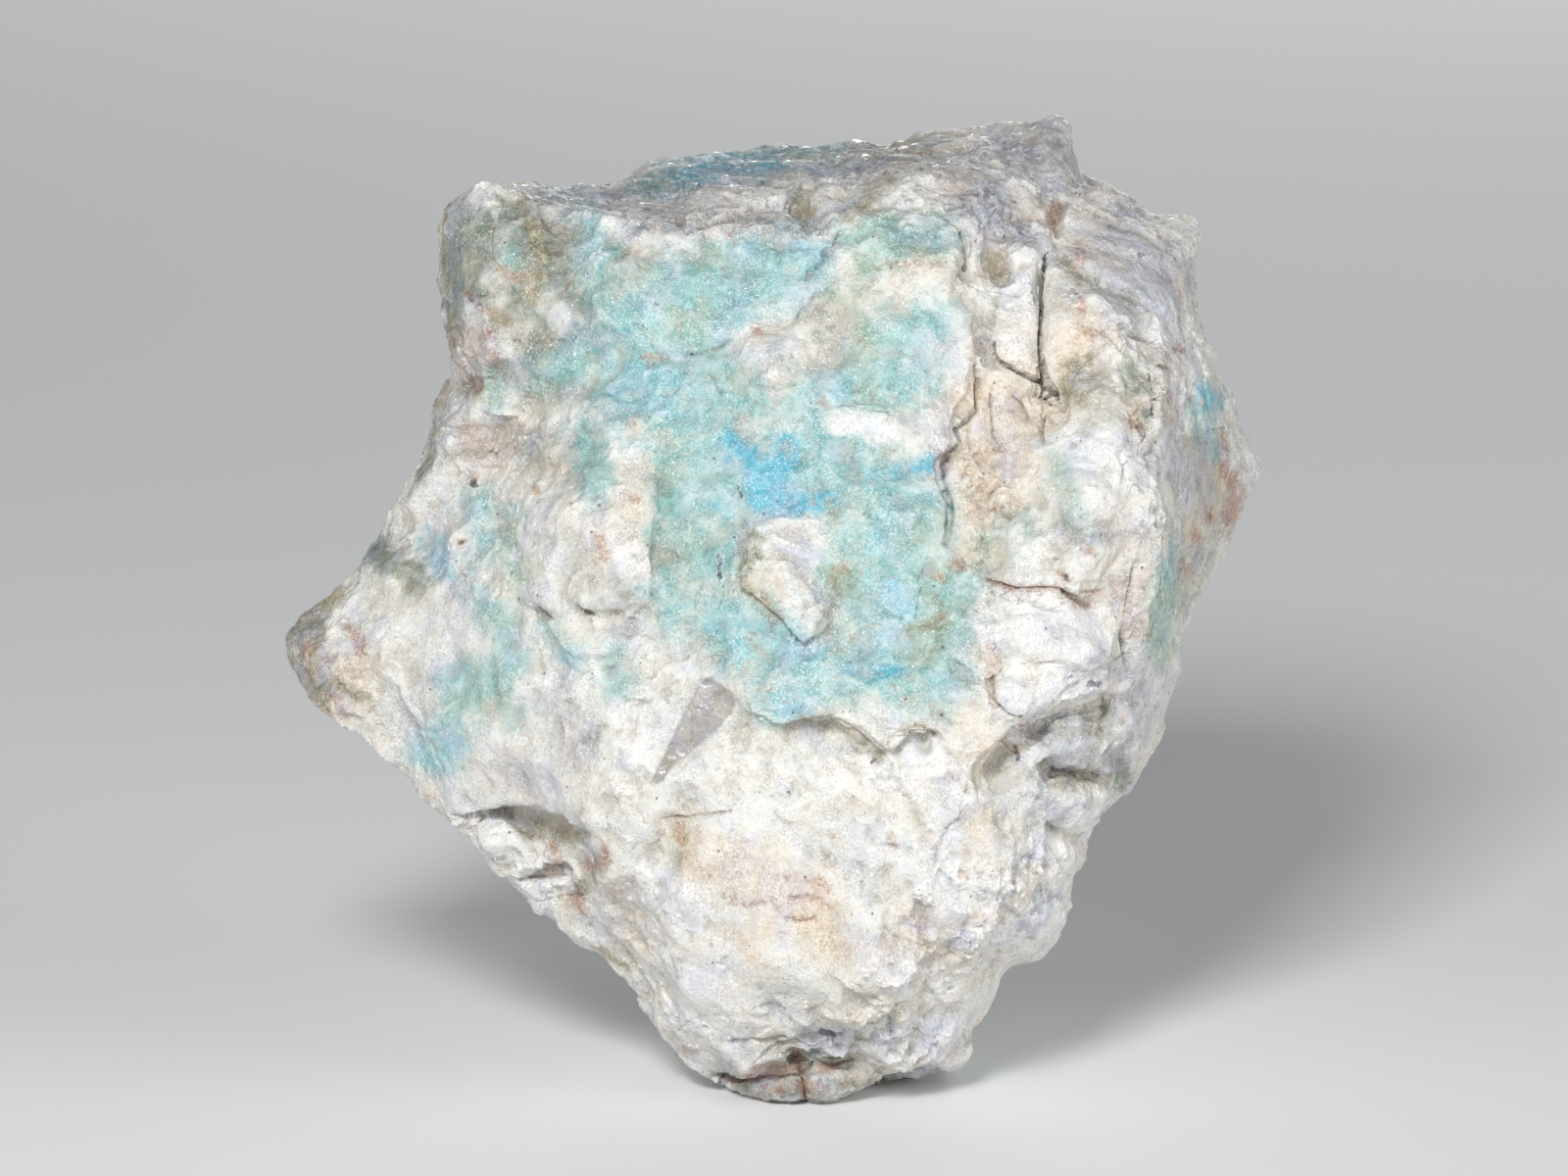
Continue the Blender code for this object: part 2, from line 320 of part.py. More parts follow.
def relief(loop, lines, spots):
    """Corners and triangles of one face of the stone; the loop's corners come first, in its own order."""
    corners = list(loop)
    edges = [(i, (i + 1) % len(loop)) for i in range(len(loop))]
    for line in lines:
        first = len(corners)
        corners.extend(line)
        edges.extend((first + i, first + i + 1) for i in range(len(line) - 1))
    corners.extend(spots)
    flat = [Vector(corner[:2]) for corner in corners]
    laid, _, faces, origins, _, _ = delaunay_2d_cdt(flat, edges, [], 0, 1e-5, True)
    solid_corners = []
    for place, origin in zip(laid, origins):
        if origin:
            out = corners[origin[0]][2]
        else:
            near = sorted(corners, key=lambda c: (c[0] - place.x) ** 2 + (c[1] - place.y) ** 2)[:2]
            out = (near[0][2] + near[1][2]) / 2
        solid_corners.append((place.x, place.y, out))
    kept = []
    for face in faces:
        centre = sum((laid[i] for i in face), Vector((0.0, 0.0))) / len(face)
        if inside(centre, loop):
            kept.append(tuple(face))
    order = {origin[0]: i for i, origin in enumerate(origins) if origin}
    return solid_corners, kept, [order[i] for i in range(len(loop))]


def block_out():
    """A closed mesh of the front and back reliefs and the wall between them, in millimetres."""
    rim = list(RIM)
    back_rim = drawn_in(rim, WALL_INSET, WALL_DEPTH)
    lines = [line for line in FRONT_RIDGES]
    for lip, drop, side in LEDGES:
        lines.append(lip)
        lines.append(ledge_foot(lip, drop, side))
    mesh = bmesh.new()
    loops = []
    for loop, face_lines, spots in ((rim, lines, FRONT_SPOTS), (back_rim, [], BACK_SPOTS)):
        corners, faces, order = relief(loop, face_lines, spots)
        verts = [mesh.verts.new(corner) for corner in corners]
        for face in faces:
            mesh.faces.new([verts[i] for i in face])
        loops.append([verts[i] for i in order])
    front, back = loops
    for i in range(len(front)):
        after = (i + 1) % len(front)
        mesh.faces.new((front[i], front[after], back[after], back[i]))
    loose = [vert for vert in mesh.verts if not vert.link_faces]
    bmesh.ops.delete(mesh, geom=loose, context="VERTS")
    bmesh.ops.recalc_face_normals(mesh, faces=mesh.faces)
    if mesh.calc_volume(signed=True) < 0:
        bmesh.ops.reverse_faces(mesh, faces=mesh.faces)
    return mesh


def evaluated(obj):
    """The object's mesh with its modifiers applied."""
    graph = bpy.context.evaluated_depsgraph_get()
    return bpy.data.meshes.new_from_object(obj.evaluated_get(graph))


def with_modifier(obj, kind, **settings):
    """Applies one modifier to the object's mesh."""
    modifier = obj.modifiers.new(kind.lower(), kind)
    for name, value in settings.items():
        setattr(modifier, name, value)
    bpy.context.view_layer.update()
    obj.data = evaluated(obj)
    obj.modifiers.clear()


def distance_to_path(points, path):
    """Distance of each (across, up) point from the line through the path's points."""
    nearest = np.full(len(points), np.inf)
    for start, end in zip(np.array(path), np.array(path[1:])):
        step = end - start
        along = np.clip((points - start) @ step / (step @ step), 0.0, 1.0)
        gaps = np.linalg.norm(points - start - along[:, None] * step, axis=1)
        nearest = np.minimum(nearest, gaps)
    return nearest


def carve(mesh):
    """Sinks the cracks and raises the knobs of the front."""
    places = np.array([vert.co for vert in mesh.vertices]) / MM
    normals = np.array([vert.normal for vert in mesh.vertices])
    shift = np.zeros(len(places))
    for path, half_width, depth in CRACKS:
        near = distance_to_path(places[:, :2], path) / half_width
        shift -= depth * np.clip(1.0 - near**2, 0.0, 1.0)
    for centre, radius, height in KNOBS:
        near = np.linalg.norm(places[:, :2] - centre, axis=1) / radius
        shift += height * np.clip(1.0 - near**2, 0.0, 1.0) ** 2
    shift *= np.clip(normals[:, 2] / 0.3, 0.0, 1.0)
    for vert, place in zip(mesh.vertices, (places + normals * shift[:, None]) * MM):
        vert.co = place


def facet_height(place, size):
    """Height of the broken facet at a place: each cell of the pattern is a small plane with its own tilt."""
    spot = place / size + NOISE_ORIGIN
    _, centres = noise.voronoi(spot)
    tilt = noise.cell_vector(centres[0] * 5.3) - Vector((0.5, 0.5, 0.5))
    return tilt.dot(spot - centres[0])


def roughen(mesh):
    """Moves each corner along its normal by the broken facets and the roughness."""
    normals = [vert.normal.copy() for vert in mesh.vertices]
    for vert, normal in zip(mesh.vertices, normals):
        place = vert.co / MM
        shift = GROWTH + sum(height * facet_height(place, size) for size, height in FACETS)
        shift += sum(height * noise.noise(place / size + NOISE_ORIGIN) for size, height in ROUGHNESS)
        vert.co += normal * shift * MM


def stand_up(mesh):
    """Leans the stone back, cuts it flat at the height of the rest point and makes that point the origin."""
    shape = bmesh.new()
    shape.from_mesh(mesh)
    lean = Matrix.Rotation(math.radians(90.0 - LEAN_DEG), 4, "X")
    bmesh.ops.transform(shape, matrix=lean, verts=shape.verts)
    bmesh.ops.translate(shape, vec=-Vector(REST_POINT) * MM, verts=shape.verts)
    everything = shape.verts[:] + shape.edges[:] + shape.faces[:]
    cut = bmesh.ops.bisect_plane(
        shape, geom=everything, plane_co=(0, 0, 0), plane_no=(0, 0, -1), clear_outer=True
    )
    rim = [item for item in cut["geom_cut"] if isinstance(item, bmesh.types.BMEdge)]
    bmesh.ops.holes_fill(shape, edges=rim, sides=0)
    bmesh.ops.triangulate(shape, faces=shape.faces)
    shape.to_mesh(mesh)
    shape.free()


def stone_material():
    material = bpy.data.materials.new("montebrasite")
    material.use_nodes = True
    shader = material.node_tree.nodes["Principled BSDF"]
    shader.inputs["Base Color"].default_value = STONE_COLOUR
    shader.inputs["Roughness"].default_value = STONE_ROUGHNESS
    shader.inputs["Metallic"].default_value = 0.0
    return material


def build_stone():
    shape = block_out()
    bmesh.ops.scale(shape, vec=(MM, MM, MM), verts=shape.verts)
    mesh = bpy.data.meshes.new("stone")
    shape.to_mesh(mesh)
    shape.free()
    stone = bpy.data.objects.new("stone", mesh)
    bpy.context.scene.collection.objects.link(stone)
    with_modifier(stone, "REMESH", mode="VOXEL", voxel_size=CELL * MM)
    with_modifier(stone, "SMOOTH", factor=0.5, iterations=1)
    carve(stone.data)
    roughen(stone.data)
    with_modifier(stone, "TRIANGULATE")
    with_modifier(stone, "DECIMATE", ratio=FACES_KEPT / len(stone.data.polygons))
    stand_up(stone.data)
    stone.data.materials.clear()
    stone.data.materials.append(stone_material())
    stone.data.shade_smooth()
    stone.data.set_sharp_from_angle(angle=math.radians(35.0))
    return stone


clear_scene()
build_stone()
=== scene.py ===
"""Montebrasite hand specimen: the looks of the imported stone.

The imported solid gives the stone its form. Here that form gets a fine surface with ledges, cracks and
broken facets, and its colours: every zone, stain and crack of the front is a named stroke, read square-on in
the same (across, up) millimetres as the solid. The sides, the back and the underside, which no picture
shows, are carried on by noise. A studio with a pale floor, soft lights and the camera stands round it.
"""

import logging
import math
from collections.abc import Callable
from dataclasses import dataclass
from enum import Enum, IntEnum

import bmesh
import bpy
import numpy as np
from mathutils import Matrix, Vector


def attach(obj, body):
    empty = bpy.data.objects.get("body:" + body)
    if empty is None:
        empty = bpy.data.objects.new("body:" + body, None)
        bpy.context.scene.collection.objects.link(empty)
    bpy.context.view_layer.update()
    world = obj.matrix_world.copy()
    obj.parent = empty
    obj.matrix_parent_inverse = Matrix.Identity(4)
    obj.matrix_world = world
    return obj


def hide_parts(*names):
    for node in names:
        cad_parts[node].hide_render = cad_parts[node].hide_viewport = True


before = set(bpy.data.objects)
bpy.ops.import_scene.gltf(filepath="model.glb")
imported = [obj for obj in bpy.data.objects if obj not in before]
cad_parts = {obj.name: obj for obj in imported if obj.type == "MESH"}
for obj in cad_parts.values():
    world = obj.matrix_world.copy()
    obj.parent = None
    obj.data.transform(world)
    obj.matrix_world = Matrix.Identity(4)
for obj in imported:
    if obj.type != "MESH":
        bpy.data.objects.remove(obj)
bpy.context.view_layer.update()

Socket = bpy.types.NodeSocket
Feed = Socket | float | tuple | str  # what an input takes: another node's socket, or a value of its own
LOG = logging.getLogger("montebrasite")
MM = 0.001
OUTSIDE = -4.0  # depth that a place far from every stroke of a zone has, in millimetres
INSIDE = 4.0


class Zone(Enum):
    """The zones of the stone, each kept on its surface as the depth inside the zone, in millimetres."""

    SEA = "sea"  # pale blue-green
    MINT = "mint"  # pale green
    MOSS = "moss"  # dull green-grey
    TEAL = "teal"  # deeper green-blue
    SKY = "sky"  # weak blue
    BLUE = "blue"  # the vivid blue
    LILAC = "lilac"  # lilac-grey veils
    GREY = "grey"  # dull grey-beige
    OLIVE = "olive"  # brownish green, partly the stone's own colour, partly painted shade under ledges, along the chip, in creases and at the foot
    CREAM = "cream"  # cream and peach
    WHITE = "white"  # bright white
    PINK = "pink"  # pinkish grey
    RUST = "rust"  # rusty stains
    DIRT = "dirt"  # dark specks
    DUSK = "dusk"  # painted shade on the top, the upper left edge, the arm's tip and the foot
    QUARTZ = "quartz"  # smoky quartz
    CALM = "calm"  # smooth faces
    COARSE = "coarse"  # granular faces


class Side(Enum):
    """The side of a line on which the ground lies lower."""

    RIGHT = 1
    LEFT = -1


class Stray(Enum):
    """How what is laid on the stone wanders: how far and how widely, in millimetres, and by which noise."""

    RELIEF = (0.8, 3.0, (111, 112, 113))
    LEDGE = (0.25, 1.6, (101, 102))  # plates, ridges and ledges
    CRACK = (0.1, 1.6, (101, 102))  # less than the ledges, by the same noise
    PATCH = (0.8, 3.2, (201, 211))  # coloured patches
    PATCH_RIM = (0.4, 1.3, (202, 212))
    SPECK = (0.12, 0.9, (221, 231))  # specks, rust and quartz
    HIDDEN_CRACK = (1.5, 6.0, (401, 402, 403))


class Salt(IntEnum):
    """The first noise pattern of each use; orders and layers count on from it."""

    HIDDEN_CRACK = 5
    SCALLOP = 20
    FACET = 40
    LUMP = 55
    TERRACE = 60
    COARSE_GRAIN = 80
    FINE_GRAIN = 90
    STRATUM = 120
    HIDDEN_ZONE = 300
    CRACK_FADE = 411


# Each zone's strokes: the half width, and the (across, up) points of its line, in millimetres. Where the half
# width is 0, the points are the corners of a filled outline.
STROKES: dict[Zone, tuple] = {
    Zone.SEA: (
        (4.4, (-10, 30), (0, 32.5)), (3.4, (-16, 27), (-8, 25)), (3.6, (-17, 21.5), (-3, 20.5)),
        (4.6, (-8.5, 16), (-8, 4)), (4, (-3, 12), (6, 13)), (5, (8, 10), (13, 6)), (3.4, (-10, -2), (0, -5)),
        (2.6, (-6, -5.5), (5, -9)), (2.2, (-1, -11.5), (3.5, -10.5)), (4.5, (8, 2), (15, -2)),
        (3.6, (8, -8), (15, -9)), (2.4, (13, -10), (18, 0)), (3, (7, 20), (13, 21.5)),
        (2.4, (10.5, 25), (15, 27)), (2, (3, 16), (2, 20)), (2, (-19, 35), (-18, 30)),
        (1.6, (-24, 21), (-20, 24)), (2, (-33, -10), (-28, -8)), (1.5, (-36, -15), (-32, -12.5)),
        (1.4, (-31, 8.5), (-30, 4)), (1.2, (-30, -2), (-28, -6)), (1.4, (-20, 16), (-18.8, 10)),
        (1, (-17, -7), (-16.6, -10.5)), (0.9, (-21.5, -6.8), (-20, -9)), (1.4, (-14, 41.5), (-8, 42.5)),
        (1, (-2, 44), (5, 44.5)), (0.8, (-22.5, 40), (-19.5, 38.8)), (2, (7, 35.5), (10, 34)),
        (1, (-30, 20.5), (-28.5, 19.5)), (1.2, (-37, -16.2), (-34, -17.5)), (0.8, (-24, -4.5), (-22, -7)),
        (1.2, (42.2, 17.5), (43.5, 19.5)),
    ),
    Zone.MINT: (
        (1.2, (-33, -12.2), (-28.8, -10)), (1.4, (-12, 30), (-10, 25.5)), (1, (10.5, 33.8), (15, 33.8)),
        (2.6, (10, 35.5), (15.5, 35.5)), (1.4, (8.5, 32.5), (7, 30)), (1.8, (28.5, 13.5), (30, 8.5)),
        (1.2, (-11, 27), (-8, 26.5)), (1.8, (21, 4), (24, 5.5)), (2.2, (16, 0), (16.5, -4)),
        (1.8, (13, -6), (17, -6)), (1.6, (8, 25), (10, 27)), (1.4, (6, 1), (8, -2)), (1.6, (12, 4), (13, 7)),
        (1.2, (5, -4.5), (6, -6)), (1.4, (-10, 33), (-8, 33.8)), (1.2, (-4.5, 31.5), (-3, 31)),
        (1, (-27.5, 5.5), (-27.2, 0)), (1.4, (-29.5, -9), (-27.5, -13.5)), (1, (-16.5, -8), (-16, -9)),
        (0.9, (-30, -3), (-28, -4)), (1.6, (39, 0), (38, -6)),
    ),
    Zone.MOSS: (
        (0.3, (27, -16.5), (32.5, -16.2)), (0.8, (28.5, -24.5), (30.5, -25)), (0.9, (34, -17), (34.5, -20)),
        (3.2, (-28, 36.5), (-25.5, 33), (-24, 29.5)), (2.2, (-33, 36), (-32.5, 29)),
        (2, (-24, 32), (-21, 29)), (2, (-24, 26.5), (-20, 25)), (1.2, (-17.5, 30), (-16, 26.5)),
        (1.4, (-26, 22.8), (-22, 22.8)), (0.9, (35, 22.5), (36.5, 18)), (1.6, (-42, 4), (-38, 1)),
        (1.4, (-14, 36), (-11, 35)), (1, (28, 5.5), (32, 5.5)),
    ),
    Zone.TEAL: (
        (1.7, (-10, 30.4), (-4.5, 27.5)), (0.8, (6.5, 20), (10, 19.5)), (1.4, (-12.2, 13), (-11.8, 8)),
        (1, (-12.8, 5), (-11, 1)), (1.2, (-10, 3.5), (-7, 3.5)), (0.8, (-5.5, 3), (-3.8, 2.5)),
        (0.9, (-13.2, 16.5), (-11, 16.8)), (1, (-20, 12), (-18.5, 10)), (0.8, (-20, 15.5), (-18.2, 13)),
        (0.8, (-28, 33.8), (-27.5, 32.5)), (0.7, (-29.8, 20.2), (-29.4, 19.6)),
        (0.8, (-20.2, 22.8), (-22.8, 20.2)), (1, (-15, 41.2), (-13.2, 41.5)), (0.8, (0, 45), (2.5, 45.4)),
        (0.8, (4, 8.5), (5.2, 9.5)), (0.8, (6.8, 5.5), (7.2, 5)), (0.9, (16, 0.5), (16.2, 0)),
        (1, (10, 19.5), (11.2, 21)), (0.9, (8, 19), (10, 19.2)), (1, (8, -6.5), (8, -7.2)),
        (0.7, (11.5, -9), (12.5, -10)), (0.9, (13.5, 36), (15.5, 35)), (0.8, (11, 36.8), (11.5, 36)),
        (0.6, (-6.2, 12), (-6, 11)), (1, (12.5, 8.5), (14.5, 8)), (0.8, (7, -1), (7, -2)),
        (0.8, (10.5, 1.5), (12.5, 1)), (0.8, (-3.5, 31.8), (-3.2, 31)), (0.6, (-10, 32.8), (-9.5, 32.5)),
    ),
    Zone.SKY: (
        (0.7, (39, 4), (38, -4)), (0.6, (43, 16), (44, 13)), (0.6, (8, 10.8), (10.5, 11)),
        (0.9, (-6.5, 8), (-6, 7)), (0.8, (-14.5, 0.5), (-13.5, 0)), (0.9, (-5.5, -3.2), (-3.8, -4)),
        (0.8, (-4.8, -6), (-2.8, -6.2)), (0.8, (-1.5, -5.5), (1.5, -6.8)), (0.8, (3, -6.8), (5, -5)),
        (1, (-1.8, -12.5), (1.2, -12.2)), (0.7, (6, -8.4), (6.8, -8.2)), (0.8, (10.8, -0.5), (11.5, -1.5)),
        (0.9, (-3, 35), (-1.8, 35.4)), (0.9, (0, 35), (3, 33.8)), (0.8, (-5.5, 29.2), (-4.2, 29.4)),
        (0.9, (-1.5, 31), (0, 31.2)), (0.9, (-5.5, 26.5), (-3.5, 27.5)), (0.7, (-16, 22), (-12.8, 22.2)),
        (0.8, (-11.5, 20.5), (-8.5, 20)), (0.7, (-13.5, 18.8), (-10, 19)), (0.6, (-16, 14.8), (-14.5, 14.8)),
        (0.8, (-17.5, 16), (-16, 16)), (0.6, (-28, 7.8), (-27.2, 8)), (0.6, (-32, 1), (-31.4, -0.2)),
        (0.8, (6, 20), (7, 19.6)), (0.7, (5.5, 18.8), (9, 18.6)), (0.5, (-36, -17), (-35, -17.6)),
        (0.5, (-21.5, -7.2), (-21, -7.4)), (1, (-32, -9), (-30, -10)), (1.2, (-33, -16), (-36, -17)),
        (1.4, (-36, 4), (-34, 2)), (1, (-10, 44), (-4, 44.4)), (1.2, (-12, 42), (-6, 42.5)),
        (0.8, (-8, -4), (-1, -4.5)), (1, (10.5, 0.5), (11.5, -2)), (1.6, (-10, 30), (-5, 28)),
        (1, (-16, 20), (-10, 17)), (0.8, (6, 5.5), (10, 4)), (0.8, (8, -4), (10, -5)),
    ),
    Zone.BLUE: (
        (1.6, (0, 13.8), (-1.5, 11)), (1.4, (-1.8, 10.5), (-2.4, 8.5)), (1.2, (-3.5, 13), (-2.5, 10)),
        (0.7, (0.6, 14.2), (0, 12.5)), (1.2, (-1, 9), (1.5, 8.8)), (1.1, (1.5, 8.2), (4.8, 8.8)),
        (0.8, (11.8, 11.8), (14.5, 12.6)), (1, (-5.8, 14.8), (-4.2, 13.4)), (0.8, (9.5, -8.8), (11.5, -8.2)),
        (0.7, (-20, 37.4), (-18.8, 37.6)), (1.4, (-6, 43.2), (-1.5, 43.4)), (0.8, (-11, 42), (-8, 42.4)),
        (0.8, (42.8, 19.5), (43.6, 19)),
    ),
    Zone.LILAC: (
        (1.6, (-24, 39.7), (-16, 39.5)), (1.2, (-15, 37.2), (-4, 36.4)), (1, (-3, 37.5), (3, 37.2)),
        (1.2, (-14, 40), (-8, 38.8)), (1, (-11, 42.5), (-6, 42.2)), (1, (3, 42), (10, 43)),
        (2.2, (21, 39.5), (23, 36.5)), (1.4, (18.5, 37.5), (20, 34.5)), (2, (22, 45), (28, 43.5)),
        (1.6, (25, 41.5), (27, 41)), (3, (32, 35), (38.5, 31.5)), (1.8, (38, 29), (39, 25)),
        (1.6, (35, 28), (32, 30)), (1.2, (30, 41), (35, 38.5)), (1.4, (38, 13), (41.5, 10)),
        (1, (34.5, 1), (36, -6)), (1, (35, -12), (35, -17)), (1, (32, -6.5), (33.5, -9)),
        (1.8, (36, -9), (38.5, -11.5)), (1.4, (39.5, 13), (41.5, 11)), (1.4, (-36, 6), (-33, 0)),
        (1.2, (-35, -9), (-33, -10)), (1.2, (-22, -13), (-21, -17)), (1.4, (-28, -18), (-24, -20)),
        (0.8, (26, 5), (36, 6)), (1.2, (16, -30), (20, -36)), (1.4, (10, -36), (13, -38)),
        (1.2, (26, -32), (27, -35)), (1, (14, -46), (16, -48)), (1.4, (28, -21.5), (31, -23)),
        (1.4, (29, -16), (32, -17)), (1, (18.5, 20), (16, 17), (16.2, 10)),
    ),
    Zone.GREY: (
        (0.4, (-24, 5.5), (-20, 2.5)), (1.7, (-3, 24), (-0.5, 21.5)), (0.5, (-42, 4), (-36, 2)),
        (0.4, (0, 4), (3, 0)), (3.4, (-32.5, 37), (-32, 27)), (3.4, (-27, 31), (-24, 26)),
        (3, (-26, 37), (-22, 33)), (2.4, (-20, 28), (-16, 26)), (2, (-30, 22), (-24, 21.5)),
        (2, (-16, 33), (-14, 30)), (1.6, (-20, 20), (-15, 18)), (2, (-25, 14), (-20, 12.5)),
        (1.4, (-20, -0.3), (-15, 0)), (2.6, (42, 14), (44, 8)), (2.6, (41, 4), (40, 0)),
        (0.8, (26, -14.5), (32, -15)), (2, (10, 45), (16, 45)), (1.2, (-28, -24), (-21, -24.5)),
        (1.4, (27.5, -19), (31, -18.5)), (1.4, (34, -18), (34.5, -20)), (1.2, (29, -24.5), (30.5, -25)),
        (1, (-4.5, -51), (10, -50.5)), (1.2, (0, -47), (5, -47)), (3, (34, 35), (39, 32)),
        (2.6, (30, 20), (33, 18)), (3, (5, 28), (7, 24)),
    ),
    # Brownish green: partly the stone's own colour, partly painted shade under the ledges, along the chip, in
    # the creases and at the foot.
    Zone.OLIVE: (
        (0.7, (-21.5, -31.5), (-19.5, -29), (-18, -27)), (0.3, (18.5, -20), (23.5, -16.2), (31.5, -13.7)),
        (0.4, (27.5, -19.5), (33, -19.2)), (0.9, (-34.5, 37.5), (-34.8, 31)),
        (0.8, (-33.8, 27), (-34, 25.5)), (1, (-25.2, 36.5), (-24.8, 34)), (0.9, (-25.5, 31.5), (-25, 30)),
        (0.9, (-29.5, 27.5), (-28.5, 27)), (0.7, (-32, 20.5), (-31, 20)), (0.9, (1.5, 39.5), (2.2, 38)),
        (0.6, (10.5, 42), (6.8, 37.5)), (0.6, (6.5, 43.5), (10, 44.5)),
        (0.5, (2, -13.5), (4.5, -13.2), (7, -14.5), (9.5, -16.5)), (0.5, (12.5, -14.2), (14, -14.5)),
        (0.8, (21.6, 33), (21.8, 31.8)), (0.6, (28.2, 32.8), (30.5, 31.2), (32, 30.4)),
        (0.6, (34.5, 29.5), (35.2, 28.8)), (0.8, (28.5, 20.5), (29.5, 18.8)), (0.8, (29, 22), (31, 23.2)),
        (0.7, (-24.5, -2.5), (-24, -3.2)), (2.6, (-49.4, -4), (-49, -9.5)),
        (1.1, (-48.2, -2.2), (-45.8, -0.8)), (1, (-48.2, -10.5), (-46.5, -11.5)),
        (0.8, (-45.5, -10), (-42.8, -11.2)), (0.7, (-26, -24.5), (-20.5, -25)),
        (1.2, (-4.5, -50.4), (2, -50.6)), (0.6, (6, -50.4), (9, -49.8)), (0.7, (13, -4.5), (16, -3)),
        (0.5, (5.2, 6.5), (5, 8)), (0.7, (-3.2, 5), (-3.8, 2), (-3.6, 0.3), (-0.5, -3)),
        (0.5, (6, 2), (5, -1), (3.5, -4)), (0.6, (-19.8, -15.2), (-18.8, -14.2)),
        (0.7, (-11, -24), (-10, -27)), (0.6, (-18, -37), (-16, -38.5)), (0.6, (-35.5, 16), (-37, 11)),
        (0.5, (-35, 21), (-36, 17)),
    ),
    Zone.CREAM: (
        (1.2, (44.8, 12.2), (46.2, 8)), (1, (41.5, 6), (43.5, 7)),
        (0, (21.3, 22.8), (26, 20.2), (27.8, 19), (28.3, 17.5), (26.2, 16.8), (25.6, 12.2), (24, 10.2),
         (21.2, 8.2), (19.2, 4.4), (17.4, 5.7), (16.8, 8.5), (16.4, 11), (17.4, 13.8), (17.9, 15.8),
         (19.7, 17.5), (20.1, 20), (20.6, 21.8)),
        (0, (27, 30), (30, 29), (33, 26.5), (33.8, 24.2), (31.2, 22.5), (29.2, 20.8), (28, 19.8),
         (26.8, 20.6), (26.4, 24)), (3, (20, 19), (24, 16)), (2.2, (18.5, 12), (21, 8)),
        (1.6, (18.5, 6), (20, 4)), (2.4, (28.5, 27), (31, 24)), (1.4, (24, 24), (25.5, 21.5)),
        (0.8, (-19, 5), (-18.2, 3)), (0.8, (-17.5, 8.5), (-15, 8)), (3, (-6, -28), (2, -30)),
        (2.6, (3, -32), (5, -36)), (2.2, (-2, -34), (-4, -36)), (1.6, (-10, -25), (-9, -28)),
        (1.4, (18.5, -13.5), (20, -16)), (2, (-47, -8), (-44, -9)), (1.4, (-46, -12), (-44, -12)),
        (1.2, (18, -18), (20, -25)), (1.8, (15, -33), (13, -34)), (1.6, (7.5, -9), (7.8, -10)),
        (1.2, (-5.5, 19.5), (-4.5, 19)), (0.8, (10.5, 33), (15, 32.8)), (1.2, (20, -6), (21, -8)),
        (1, (30, 34.5), (29.5, 33.8)), (1.8, (9, -39), (14, -41)), (0.8, (31, 0), (31.5, -1.2)),
        (1.4, (-16, -33.5), (-15, -36)),
    ),
    Zone.WHITE: (
        (0, (20.2, 0), (24, -0.6), (27.5, -0.7), (30, -2.4), (32.6, -2), (33, -4), (32, -6.2), (29.8, -8.6),
         (27.8, -9.6), (24.8, -11.6), (23, -12), (21.4, -10.8), (21.2, -8.2), (19.6, -5), (19, -2.4)),
        (0, (-9.8, 37.8), (-8.8, 39), (-6, 39.9), (-2, 40.2), (2, 40), (0, 38.7), (-3, 38.6), (-6, 37.8),
         (-8, 36.8), (-9.6, 36.6)),
        (0, (22.8, 33.6), (24.5, 34.4), (26, 33.8), (25.8, 30), (25.5, 26), (25, 23), (22, 23.8),
         (21.4, 25.5), (21.8, 28), (22.4, 31)), (2.6, (23, -3), (29, -5)), (1.8, (22, -10), (27, -10)),
        (2.2, (15, -18), (18, -20)), (3, (-8, -41), (-5, -44)), (2.6, (-10, -36), (-6, -39)),
        (2.2, (5, -19), (12, -20)), (1.4, (6, 16.8), (10, 16)), (1.6, (-3.5, 25), (-0.5, 21.5)),
        (1.2, (-23.5, 28.2), (-22.5, 27.5)), (0.8, (-32.2, 28.2), (-31.2, 27.5)),
        (1.2, (-9.5, 38.5), (-6, 39.2)), (0.8, (36, -8), (38.5, -11.2)), (3.4, (20, -30.5), (26, -30)),
        (0.6, (28, -16.2), (32.2, -15.8)), (0.7, (-5, 40.2), (-2, 40.5)), (0.9, (3.8, 38.5), (5, 39.2)),
        (1.6, (24, 33), (23.8, 28)), (1, (23.5, 41.5), (24.5, 41.2)), (1.6, (-24, -9), (-21, -10)),
        (2, (-16, -14), (-15, -19)), (0.9, (-40.5, -4.5), (-38.8, -5.5)),
        (1.8, (-29.5, -24.5), (-27.8, -26)), (1.2, (-31, -24), (-26, -27.2)),
        (1.2, (-29, -28), (-25.5, -28.5)), (0.9, (-23.5, -30), (-21.5, -30.5)), (1.2, (-0.5, 5), (2, 4.5)),
        (0.9, (0.5, -0.5), (1.8, -2.5)), (2.4, (26, -27), (30, -25)), (3, (16, -30), (26, -30.5)),
        (2.6, (20, -34.5), (26, -33.5)), (2.6, (10, -38.5), (16, -40)), (1.4, (23, 4.5), (25.5, 3.8)),
        (1.6, (31, 13), (32.5, 8)), (1.6, (-15, -28), (-11, -30)), (2, (13, -28), (16, -24)),
        (2, (20, -28), (26, -30)), (2, (15, -44), (16, -47)), (1.6, (28, 15), (33, 15)),
        (1.4, (33, 10), (34, 13)), (1.4, (-16, 4), (-15, 2)), (0.9, (17, 44.5), (18.5, 43.5)),
        (0.9, (-34, 15.5), (-33.2, 14.5)), (0.8, (-33, 12.2), (-32.2, 11.5)),
        (0.9, (-17, 36.4), (-10, 34.8)), (0.3, (-23.5, 39.2), (-20, 37.8), (-16, 36.8)),
        (0.3, (-10, 35.4), (-4, 35.8), (3, 35.8)), (1.2, (38, 27), (38.3, 25.5)),
    ),
    Zone.PINK: (
        (1.8, (-32, 25), (-31.5, 23)), (2, (-33, 15), (-28, 15.5)), (1, (-30, 13.5), (-28.5, 14)),
